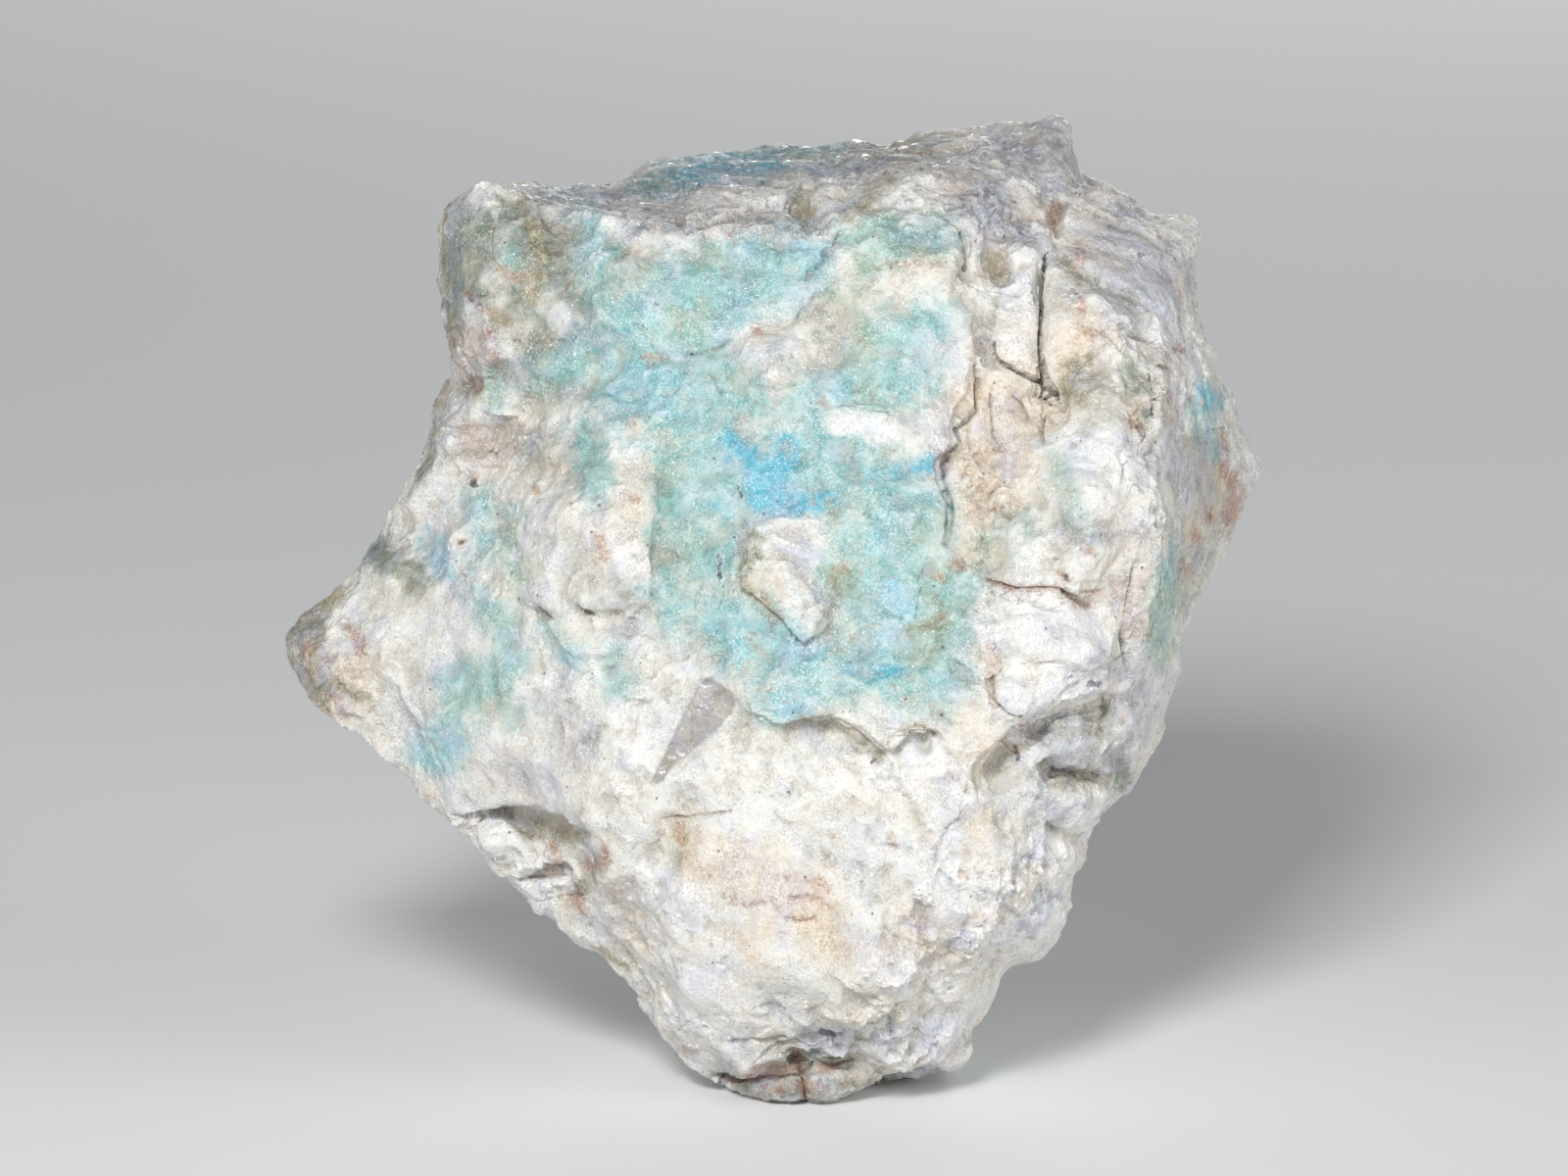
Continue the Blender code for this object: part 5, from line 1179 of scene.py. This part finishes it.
class NodeWriter:
    """Adds nodes to one tree, and joins them as they come."""

    def __init__(self, tree: bpy.types.NodeTree) -> None:
        """Starts on a tree."""
        self.tree = tree

    def add(self, kind: str, inputs: dict | None = None, **settings: object) -> bpy.types.Node:
        """Adds one node.

        Args:
            kind: the node's Blender type.
            inputs: for each input, by name or number, its value or the socket that feeds it.
            settings: the node's own settings.

        Returns:
            The new node.
        """
        node = self.tree.nodes.new(kind)
        for name, value in settings.items():
            setattr(node, name, value)
        for key, value in (inputs or {}).items():
            if isinstance(value, Socket):
                self.tree.links.new(value, node.inputs[key])
            else:
                node.inputs[key].default_value = value
        return node

    def math(self, kind: str, first: Feed, second: Feed) -> Socket:
        """The result of one step of arithmetic."""
        return self.add("ShaderNodeMath", {0: first, 1: second}, operation=kind).outputs[0]

    def times(self, first: Feed, second: Feed) -> Socket:
        """The product of two values."""
        return self.math("MULTIPLY", first, second)

    def vector(self, kind: str, inputs: dict) -> Socket:
        """The result of one step of arithmetic on vectors."""
        return self.add("ShaderNodeVectorMath", inputs, operation=kind).outputs[0]

    def ranged(
        self, value: Feed, low: Feed, high: Feed, to: tuple[float, float] = (0.0, 1.0)
    ) -> Socket:
        """A smooth rise from to[0] at low to to[1] at high."""
        inputs = {"Value": value, "From Min": low, "From Max": high, "To Min": to[0], "To Max": to[1]}
        return self.add("ShaderNodeMapRange", inputs, interpolation_type="SMOOTHSTEP").outputs["Result"]

    def mixed(self, share: Feed, under: Feed, over: Feed) -> Socket:
        """One colour laid over another; either may be a screen colour such as "#EDEBE6"."""
        under, over = (linear(colour) if isinstance(colour, str) else colour for colour in (under, over))
        return self.add("ShaderNodeMix", {0: share, 6: under, 7: over}, data_type="RGBA").outputs[2]

    def wave(self, place: Feed, scale: Feed, detail: float, roughness: float = 0.5) -> Socket:
        """Rounded noise from 0 to 1."""
        inputs = {"Vector": place, "Scale": scale, "Detail": detail, "Roughness": roughness}
        return self.add("ShaderNodeTexNoise", inputs).outputs["Fac"]

    def cells(self, place: Feed, scale: Feed) -> tuple[Socket, Socket]:
        """Scattered cells: the distance to a cell's middle, and a colour of its own for each."""
        made = self.add("ShaderNodeTexVoronoi", {"Vector": place, "Scale": scale}).outputs
        return made["Distance"], made["Color"]

    def some(self, colour: Feed, channel: str, limit: Feed) -> Socket:
        """A mask of the cells whose own colour passes a limit in one channel."""
        parts = self.add("ShaderNodeSeparateColor", {"Color": colour}).outputs
        return self.math("GREATER_THAN", parts[channel], limit)

    def stored(self, name: str) -> Socket:
        """A value that the surface keeps at its corners."""
        return self.add("ShaderNodeAttribute", attribute_name=name).outputs["Fac"]

    def placed(self, group: bpy.types.NodeTree, inputs: dict) -> dict[str, Socket]:
        """The outputs of a node group that is placed with its own values."""
        return dict(self.add("ShaderNodeGroup", inputs, node_tree=group).outputs.items())


class Effects:
    """The node groups that the finishes share. Places are in millimetres."""

    def __init__(self) -> None:
        """Builds every group once."""
        self.edge = self._group("patch_edge", ("Place", "Depth", "Scale", "Wander", "Soft"), self._patch_edge)
        self.mottle = self._group("mottle", ("Place", "Scale", "Contrast"), self._mottle)
        self.sugar = self._group("sugar", ("Place", "Scale"), self._sugar)
        self.glint = self._group("glint", ("Place", "Normal", "Scale", "Share", "Tilt"), self._glint)
        self.speckle = self._group("speckle", ("Place", "Scale"), self._speckle)
        self.sparkle = self._group("sparkle", ("Place", "Scale", "Share"), self._sparkle)
        self.flecks = self._group("flecks", ("Place", "Tints", "Stains", "Pins"), self._flecks)

    @staticmethod
    def _group(name: str, inputs: tuple[str, ...], effect: Callable[..., dict]) -> bpy.types.NodeTree:
        """Makes one group.

        Args:
            name: its name.
            inputs: its inputs; Place and Normal are vectors, and the others are numbers.
            effect: adds its nodes, given a writer and each input's socket, and returns a socket for each
                output.

        Returns:
            The group.
        """
        tree = bpy.data.node_groups.new(name, "ShaderNodeTree")
        writer = NodeWriter(tree)

        def declare(label: str, side: str) -> None:
            """Gives the group one more socket."""
            kind = "NodeSocketVector" if label in ("Place", "Normal") else "NodeSocketFloat"
            tree.interface.new_socket(label, in_out=side, socket_type=kind)

        for label in inputs:
            declare(label, "INPUT")
        given = writer.add("NodeGroupInput").outputs
        made = effect(writer, *(given[label] for label in inputs))
        for label in made:
            declare(label, "OUTPUT")
        writer.add("NodeGroupOutput", made)
        return tree

    @staticmethod
    def _patch_edge(
        writer: NodeWriter, place: Feed, depth: Feed, scale: Feed, wander: Feed, soft: Feed
    ) -> dict:
        """Turns the depth inside a zone into a mask whose edge wanders and crumbles."""
        stray = writer.times(writer.math("SUBTRACT", writer.wave(place, scale, 4.0, 0.62), 0.5), wander)
        return {"Mask": writer.ranged(writer.math("ADD", depth, stray), writer.times(soft, -1.0), soft)}

    @staticmethod
    def _mottle(writer: NodeWriter, place: Feed, scale: Feed, contrast: Feed) -> dict:
        """A cloudy value from 0 to 1."""
        low, high = (writer.math(kind, 0.5, contrast) for kind in ("SUBTRACT", "ADD"))
        return {"Cloud": writer.ranged(writer.wave(place, scale, 5.0, 0.68), low, high)}

    @staticmethod
    def _sugar(writer: NodeWriter, place: Feed, scale: Feed) -> dict:
        """The height of a sugary, crystalline grain, from 0 to about 1.5."""
        domed = writer.math("SUBTRACT", 1.0, writer.cells(place, scale)[0])
        return {"Height": writer.math("ADD", writer.times(domed, 0.45), writer.wave(place, scale, 2.0, 0.7))}

    @staticmethod
    def _glint(
        writer: NodeWriter, place: Feed, normal: Feed, scale: Feed, share: Feed, tilt: Feed
    ) -> dict:
        """Small cleavage faces that catch the light.

        Args:
            writer: the group's writer.
            place: where the surface is.
            normal: the surface's own normal.
            scale: how many of the faces there are in a millimetre.
            share: how many of them glint, from 0 to 1.
            tilt: how far those lean.

        Returns:
            The glints' mask, and the normal tilted on them.
        """
        _, colour = writer.cells(place, scale)
        mask = writer.some(colour, "Red", writer.math("SUBTRACT", 1.0, share))
        lean = writer.vector("SUBTRACT", {0: colour, 1: (0.5, 0.5, 0.5)})
        lean = writer.vector("SCALE", {0: lean, "Scale": writer.times(mask, tilt)})
        tilted = writer.vector("NORMALIZE", {0: writer.vector("ADD", {0: normal, 1: lean})})
        return {"Mask": mask, "Normal": tilted}

    @staticmethod
    def _speckle(writer: NodeWriter, place: Feed, scale: Feed) -> dict:
        """The finest grain: dark and pale specks, each as a mask."""
        wave = writer.wave(place, scale, 2.0, 0.75)
        return {"Dark": writer.ranged(wave, 0.5, 0.3), "Pale": writer.ranged(wave, 0.5, 0.7)}

    @staticmethod
    def _flecks(writer: NodeWriter, place: Feed, tints: Feed, stains: Feed, pins: Feed) -> dict:
        """Small changes of colour all over.

        Args:
            writer: the group's writer.
            place: where the surface is.
            tints: how many tinted spots there are in a millimetre.
            stains: the same for the rusty flecks.
            pins: the same for the cells that may hold a dark speck.

        Returns:
            Masks of the warm and the cool tints, the rusty flecks and the dark pin specks.
        """
        tint = writer.wave(place, tints, 5.0, 0.62)
        stain = writer.wave(place, stains, 4.0, 0.72)
        far, colour = writer.cells(place, pins)
        pin = writer.ranged(far, 0.16, 0.1)
        return {
            "Warm": writer.ranged(tint, 0.52, 0.6),
            "Cool": writer.ranged(tint, 0.48, 0.4),
            "Rusty": writer.ranged(stain, 0.6, 0.72),
            "Specks": writer.times(pin, writer.some(colour, "Blue", 0.93)),
        }

    @staticmethod
    def _sparkle(writer: NodeWriter, place: Feed, scale: Feed, share: Feed) -> dict:
        """Small bright specks, each on one crystal in many, and more of them in some places.

        Args:
            writer: the group's writer.
            place: where the surface is.
            scale: how many crystals there are in a millimetre.
            share: how many of them sparkle, from 0 to 1.

        Returns:
            The specks' mask.
        """
        far, colour = writer.cells(place, scale)
        chosen = writer.some(colour, "Green", writer.math("SUBTRACT", 1.0, share))
        drift = writer.ranged(writer.wave(place, 0.16, 2.0), 0.46, 0.6, (0.1, 1.0))
        return {"Mask": writer.times(writer.times(chosen, drift), writer.ranged(far, 0.4, 0.2))}


@dataclass(frozen=True)
class Pigment:
    """One colour of the stone, or painted shade, laid over those before it where its zone's strokes are."""

    zone: Zone
    pale: str
    deep: str
    cover: float = 0.8  # how much of what is under it it hides
    soft: float = 0.8  # half the width of its edge, in millimetres
    wander: float = 3.0  # how far its edge strays, in millimetres
    grain: float = 0.7  # how many times a millimetre the stray changes
    clouds: float = 0.6  # how many times a millimetre its two colours change


PIGMENTS: tuple[Pigment, ...] = (
    Pigment(Zone.GREY, "#AEAEA2", "#88877B", cover=0.84, soft=1.8, wander=4.0, grain=0.5, clouds=0.5),
    Pigment(Zone.MOSS, "#86978A", "#5E7062", cover=0.85, soft=1.0, wander=4.0, grain=0.5, clouds=0.5),
    Pigment(Zone.LILAC, "#CACBD6", "#A4A5B4", cover=0.75, soft=1.5, wander=4.0, grain=0.5, clouds=0.5),
    Pigment(Zone.CREAM, "#EADCC6", "#D3BA99", cover=0.75, soft=1.6, wander=4.0, grain=0.5, clouds=0.9),
    Pigment(Zone.PINK, "#D3C6C2", "#AD9A93", cover=0.7, soft=1.0, wander=3.0, grain=0.9, clouds=0.9),
    Pigment(Zone.SEA, "#9FD2D1", "#69B0B3", cover=0.94, soft=2.2, wander=4.5, grain=0.5, clouds=0.5),
    Pigment(Zone.SKY, "#92D2DE", "#5EB8CC", cover=0.68, soft=1.2, wander=3.4, grain=0.9, clouds=0.9),
    Pigment(Zone.MINT, "#A3C6B6", "#7CA793", cover=0.78, soft=1.3, wander=4.0, grain=0.5, clouds=0.9),
    Pigment(Zone.TEAL, "#8AC1BB", "#64A29C", cover=0.78, soft=0.9, wander=3.0, grain=0.9, clouds=0.9),
    Pigment(Zone.BLUE, "#58C2D8", "#37A8C4", cover=0.94, soft=0.8, wander=2.2, grain=0.9, clouds=0.9),
    Pigment(Zone.WHITE, "#F6F4F1", "#E6E6E3", cover=0.85, soft=1.0, wander=3.5, grain=0.9, clouds=0.9),
    # Partly the stone's own brownish green, partly painted shade.
    Pigment(Zone.OLIVE, "#A09769", "#736A42", cover=0.8, soft=0.8, wander=1.8, grain=0.9, clouds=0.9),
    # Painted shade, laid dark grey over the top, the edges and the foot.
    Pigment(Zone.DUSK, "#7E838B", "#585E69", cover=0.66, soft=2.0, wander=3.0, grain=0.5, clouds=0.5),
    Pigment(Zone.QUARTZ, "#B5AFA8", "#9C958E", cover=0.88, soft=0.2, wander=0.4, grain=0.9, clouds=0.5),
    Pigment(Zone.RUST, "#B9815A", "#8A5434", cover=0.75, soft=0.5, wander=2.2, grain=2.0, clouds=1.8),
    Pigment(Zone.DIRT, "#4E3E34", "#241C18", cover=0.9, soft=0.08, wander=0.8, grain=2.0, clouds=1.8),
)


@dataclass(frozen=True)
class StoneFinish:
    """Broken montebrasite: milky, sugary rock with coloured zones, stains and glinting grains."""

    effects: Effects
    body: tuple[str, str] = ("#EDECE5", "#D6D5CF")
    # for the pale grain, and for the sparkles' painted glints
    white: str = "#FFFFFF"
    # painted highlight on convex edges
    edge_highlight_colour: str = "#F6F6F6"
    # partly the cracks' own dark fill, partly painted shade in their grooves and under ledges
    crack_fill_and_shade_colour: str = "#2E2723"
    hairline_colour: str = "#7E6653"
    # painted shade in the hollows
    hollow_shade_colour: str = "#948D80"
    pit_colour: str = "#A69A8E"
    speckle_colour: str = "#7C766E"
    hollows: tuple = (("hollow", 0.02, 0.22, 0.3), ("deep_hollow", 0.1, 0.9, 0.25))  # from, to and share of the painted shade in the hollows
    fleck_sizes: tuple = (("Tints", 0.2), ("Stains", 0.55), ("Pins", 0.85))  # how many in a millimetre
    tints: tuple = (("Warm", "#DFC5A8"), ("Cool", "#AEB9E0"))  # stronger on granular faces
    stains: tuple = (("Rusty", "#A9805E", 0.5), ("Specks", "#4A3A30", 0.8))  # with their shares
    roughness: float = 0.46
    glint_roughness: float = 0.16
    quartz_polish: float = 0.3  # how much less rough the quartz is
    quartz_coat: float = 0.5
    refraction: float = 1.6
    thinnest: float = 0.72  # how much of a soft pigment is left where it lies thinnest
    grain_sizes: tuple[float, float] = (1.5, 4.0)  # coarse and fine grains, how many in a millimetre
    grain_height: float = 0.24  # of the sugary grain, in millimetres

    def material(self) -> bpy.types.Material:
        """Makes the material.

        Returns:
            The finish as a material.
        """
        material = bpy.data.materials.new("broken montebrasite")
        material.use_nodes = True
        material.node_tree.nodes.clear()
        writer = NodeWriter(material.node_tree)
        coordinates = writer.add("ShaderNodeTexCoord").outputs["Object"]
        place = writer.vector("SCALE", {0: coordinates, "Scale": 1.0 / MM})
        spark = writer.placed(self.effects.sparkle, {"Place": place, "Scale": 3.1, "Share": 0.025})["Mask"]
        colour, quartz = self._pigments(writer, place)
        colour = self._painted_hollow_shade_and_edge_light(writer, colour)
        colour = self._flecked(writer, place, colour)
        colour = self._grained(writer, place, colour, quartz)
        # The sparkles are painted white into the colour: painted glints; the same mask also lowers the
        # roughness.
        colour = self._cracked(writer, place, writer.mixed(spark, colour, self.white))
        normal, glint = self._relief(writer, place)
        shine = {"Value": writer.math("MAXIMUM", glint, spark), "To Min": self.roughness}
        rough = writer.add("ShaderNodeMapRange", {**shine, "To Max": self.glint_roughness}).outputs[0]
        shader = writer.add("ShaderNodeBsdfPrincipled", {
            "Base Color": colour, "IOR": self.refraction, "Normal": normal, "Coat Roughness": 0.2,
            "Roughness": writer.math("SUBTRACT", rough, writer.times(quartz, self.quartz_polish)),
            "Coat Weight": writer.times(quartz, self.quartz_coat)})
        writer.add("ShaderNodeOutputMaterial", {"Surface": shader.outputs[0]})
        return material

    def _cloud(self, writer: NodeWriter, place: Feed, scale: float, contrast: float) -> Socket:
        """One use of the mottling."""
        settings = {"Place": place, "Scale": scale, "Contrast": contrast}
        return writer.placed(self.effects.mottle, settings)["Cloud"]

    def _pigments(self, writer: NodeWriter, place: Feed) -> tuple[Socket, Socket]:
        """Lays every pigment over the body colour.

        Args:
            writer: the material's writer.
            place: where the surface is, in millimetres.

        Returns:
            The colour, and the quartz's mask.
        """
        masks = {}
        colour = writer.mixed(self._cloud(writer, place, 0.3, 0.22), *self.body)
        blotches = writer.ranged(self._cloud(writer, place, 0.3, 0.1), 1.0, 0.0, (1.0, self.thinnest))
        for pigment in PIGMENTS:
            mask = writer.placed(self.effects.edge, {
                "Place": place, "Depth": writer.stored(pigment.zone.value), "Scale": pigment.grain,
                "Wander": pigment.wander, "Soft": pigment.soft})["Mask"]
            share = writer.times(mask, pigment.cover)
            if pigment.soft > 1.0:
                share = writer.times(share, blotches)
            cloud = self._cloud(writer, place, pigment.clouds, 0.14)
            colour = writer.mixed(share, colour, writer.mixed(cloud, pigment.pale, pigment.deep))
            masks[pigment.zone] = mask
        return colour, masks[Zone.QUARTZ]

    def _painted_hollow_shade_and_edge_light(self, writer: NodeWriter, colour: Feed) -> Socket:
        """Painted shade in the hollows, and painted highlights on the edges.

        Args:
            writer: the material's writer.
            colour: the colour so far.

        Returns:
            The colour with its painted shade and highlights.
        """
        # Painted shade: the deeper the hollow, the more of the dark colour.
        for name, low, high, most in self.hollows:
            dim = writer.times(writer.ranged(writer.stored(name), low, high), most)
            colour = writer.mixed(dim, colour, self.hollow_shade_colour)
        # Painted highlight: convex edges turn paler.
        edge_light = writer.times(writer.ranged(writer.stored("hollow"), -0.04, -0.22), 0.18)
        return writer.mixed(edge_light, colour, self.edge_highlight_colour)

    def _flecked(self, writer: NodeWriter, place: Feed, colour: Feed) -> Socket:
        """Tints, stains, dark specks and small pits, more of them on granular faces.

        Args:
            writer: the material's writer.
            place: where the surface is, in millimetres.
            colour: the colour so far.

        Returns:
            The colour with its flecks.
        """
        flecks = writer.placed(self.effects.flecks, {"Place": place, **dict(self.fleck_sizes)})
        coarse = writer.stored(Zone.COARSE.value)
        tinted = writer.ranged(coarse, -2.0, 1.0, (0.2, 0.36))
        for name, fleck in self.tints:
            colour = writer.mixed(writer.times(flecks[name], tinted), colour, fleck)
        for name, fleck, share in self.stains:
            colour = writer.mixed(writer.times(flecks[name], share), colour, fleck)
        pitted = writer.ranged(coarse, -1.5, 1.0, (0.1, 0.28))
        pits = writer.times(pitted, self._cloud(writer, place, 1.8, 0.1))
        return writer.mixed(pits, colour, self.pit_colour)

    def _grained(self, writer: NodeWriter, place: Feed, colour: Feed, quartz: Feed) -> Socket:
        """The finest grain, in drifts, and none of it on the quartz.

        Args:
            writer: the material's writer.
            place: where the surface is, in millimetres.
            colour: the colour so far.
            quartz: the quartz's mask.

        Returns:
            The colour with its grain.
        """
        grain = writer.placed(self.effects.speckle, {"Place": place, "Scale": 4.2})
        drift = writer.math("SUBTRACT", self._cloud(writer, place, 0.3, 0.1), quartz)
        for name, speck, most in (("Dark", self.speckle_colour, 0.46), ("Pale", self.white, 0.5)):
            share = writer.times(grain[name], writer.ranged(drift, -0.5, 1.0, (0.0, most)))
            colour = writer.mixed(share, colour, speck)
        return colour

    def _cracked(self, writer: NodeWriter, place: Feed, colour: Feed) -> Socket:
        """Dark cracks and brown hairlines, broken up along their length; the cracks' dark is partly their own
        fill and partly painted shade.

        Args:
            writer: the material's writer.
            place: where the surface is, in millimetres.
            colour: the colour so far.

        Returns:
            The colour with its cracks.
        """
        tone = writer.stored("crack_tone")
        gaps = writer.ranged(self._cloud(writer, place, 0.9, 0.16), 0.1, 0.7, (0.35, 1.0))
        # Partly painted shade: the grooves and ledge lips are darkened beyond their own fill.
        line = writer.times(writer.ranged(writer.stored("crack"), 0.09, -0.09), writer.times(tone, gaps))
        dark = writer.mixed(writer.ranged(tone, 0.3, 0.65), self.hairline_colour, self.crack_fill_and_shade_colour)
        return writer.mixed(line, colour, dark)

    def _relief(self, writer: NodeWriter, place: Feed) -> tuple[Socket, Socket]:
        """The sugary grain and the glinting faces.

        Args:
            writer: the material's writer.
            place: where the surface is, in millimetres.

        Returns:
            The normal with both, and the glints' mask.
        """
        plain = writer.add("ShaderNodeNewGeometry").outputs["Normal"]
        glint = writer.placed(self.effects.glint, {
            "Place": place, "Normal": plain, "Scale": 1.4, "Share": 0.08, "Tilt": 0.6})
        coarse, fine = (
            writer.placed(self.effects.sugar, {"Place": place, "Scale": scale})["Height"]
            for scale in self.grain_sizes)
        height = writer.math("ADD", writer.times(coarse, 0.6), writer.times(fine, 0.36))
        bump = writer.add("ShaderNodeBump", {
            "Height": height, "Strength": 1.0, "Distance": self.grain_height * MM, "Normal": glint["Normal"]})
        return bump.outputs["Normal"], glint["Mask"]


@dataclass(frozen=True)
class Lamp:
    """A square soft light."""

    name: str
    power: float  # in watts
    azimuth: float  # how far it stands to the viewer's right of the camera, in degrees
    elevation: float  # its height above the stone's middle, in degrees
    away: float  # its distance from the stone's middle, in metres
    side: float  # the length of its side, in metres


LAMPS = (
    Lamp("key_light", power=6.4, azimuth=-12.0, elevation=33.0, away=0.95, side=0.22),
    Lamp("left_light", power=1.9, azimuth=-60.0, elevation=8.0, away=1.0, side=0.5),
    Lamp("right_light", power=4.6, azimuth=64.0, elevation=7.0, away=1.0, side=0.5),
    Lamp("back_light", power=3.2, azimuth=172.0, elevation=8.0, away=1.1, side=0.5),
)


@dataclass
class Studio:
    """The plain surroundings: floor, lights, sky and camera."""

    lens: float = 500.0
    sensor: float = 36.0
    view_width: float = 160.0  # what the photograph's width takes in at the stone, in millimetres
    aim: tuple[float, float] = (0.0, 0.0)  # (across, up) of the picture's middle
    middle: tuple[float, float, float] = (0.0, 0.0, 0.048)  # of the stone, in metres
    floor_side: float = 40.0  # in metres
    floor_colour: str = "#F4F5F6"
    sky_colour: tuple[float, float, float, float] = (0.97, 0.985, 1.0, 1.0)
    sky: float = 0.14

    def build(self, reading: Reading) -> None:
        """Puts up the floor, the lights, the sky and the camera.

        Args:
            reading: the plane that the camera looks at squarely.
        """
        self._floor()
        self._sky()
        for lamp in LAMPS:
            self._light(lamp)
        self._camera(reading)
        bpy.context.scene.view_settings.view_transform = "Standard"
        LOG.info("studio: floor, %d lights, sky and camera", len(LAMPS))

    def _floor(self) -> None:
        """A wide, plain floor that the stone stands on."""
        shape = bmesh.new()
        bmesh.ops.create_grid(shape, x_segments=1, y_segments=1, size=self.floor_side / 2)
        mesh = bpy.data.meshes.new("floor")
        shape.to_mesh(mesh)
        shape.free()
        floor = bpy.data.objects.new("floor", mesh)
        bpy.context.scene.collection.objects.link(floor)
        material = bpy.data.materials.new("plain pale floor")
        material.use_nodes = True
        shader = material.node_tree.nodes["Principled BSDF"]
        shader.inputs["Base Color"].default_value = linear(self.floor_colour)
        shader.inputs["Roughness"].default_value = 0.9
        shader.inputs["Specular IOR Level"].default_value = 0.2
        mesh.materials.append(material)

    def _sky(self) -> None:
        """An even pale light from all round."""
        world = bpy.data.worlds.new("studio sky")
        world.use_nodes = True
        background = world.node_tree.nodes["Background"]
        background.inputs["Color"].default_value = self.sky_colour
        background.inputs["Strength"].default_value = self.sky
        bpy.context.scene.world = world

    def _light(self, lamp: Lamp) -> None:
        """Hangs up one lamp, turned to the stone's middle and unseen by the camera.

        Args:
            lamp: the lamp.
        """
        light = bpy.data.lights.new(lamp.name, "AREA")
        light.energy = lamp.power
        light.shape = "SQUARE"
        light.size = lamp.side
        item = bpy.data.objects.new(lamp.name, light)
        turn, rise = math.radians(lamp.azimuth), math.radians(lamp.elevation)
        towards = Vector((math.sin(turn) * math.cos(rise), -math.cos(turn) * math.cos(rise), math.sin(rise)))
        item.location = Vector(self.middle) + towards * lamp.away
        item.rotation_euler = towards.to_track_quat("Z", "Y").to_euler()
        item.visible_camera = False
        bpy.context.scene.collection.objects.link(item)

    def _camera(self, reading: Reading) -> None:
        """Puts the camera square to the plane of the readings.

        Args:
            reading: that plane.
        """
        data = bpy.data.cameras.new("camera")
        data.lens = self.lens
        data.sensor_width = self.sensor
        data.sensor_fit = "HORIZONTAL"
        data.clip_end = 100.0
        camera = bpy.data.objects.new("camera", data)
        camera.location = reading.place(*self.aim, self.view_width * self.lens / self.sensor)
        camera.rotation_euler = Vector(reading.axes[2]).to_track_quat("Z", "Y").to_euler()
        bpy.context.scene.collection.objects.link(camera)
        bpy.context.scene.camera = camera


def main() -> None:
    """Builds the studio and the stone's surface."""
    logging.basicConfig(level=logging.INFO, format="%(name)s: %(message)s")
    reading = Reading()
    Studio().build(reading)
    surface = StoneSurface().build(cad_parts["stone"], reading, StoneFinish(Effects()))
    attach(surface, "root")
    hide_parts("stone")


if __name__ == "__main__":
    main()
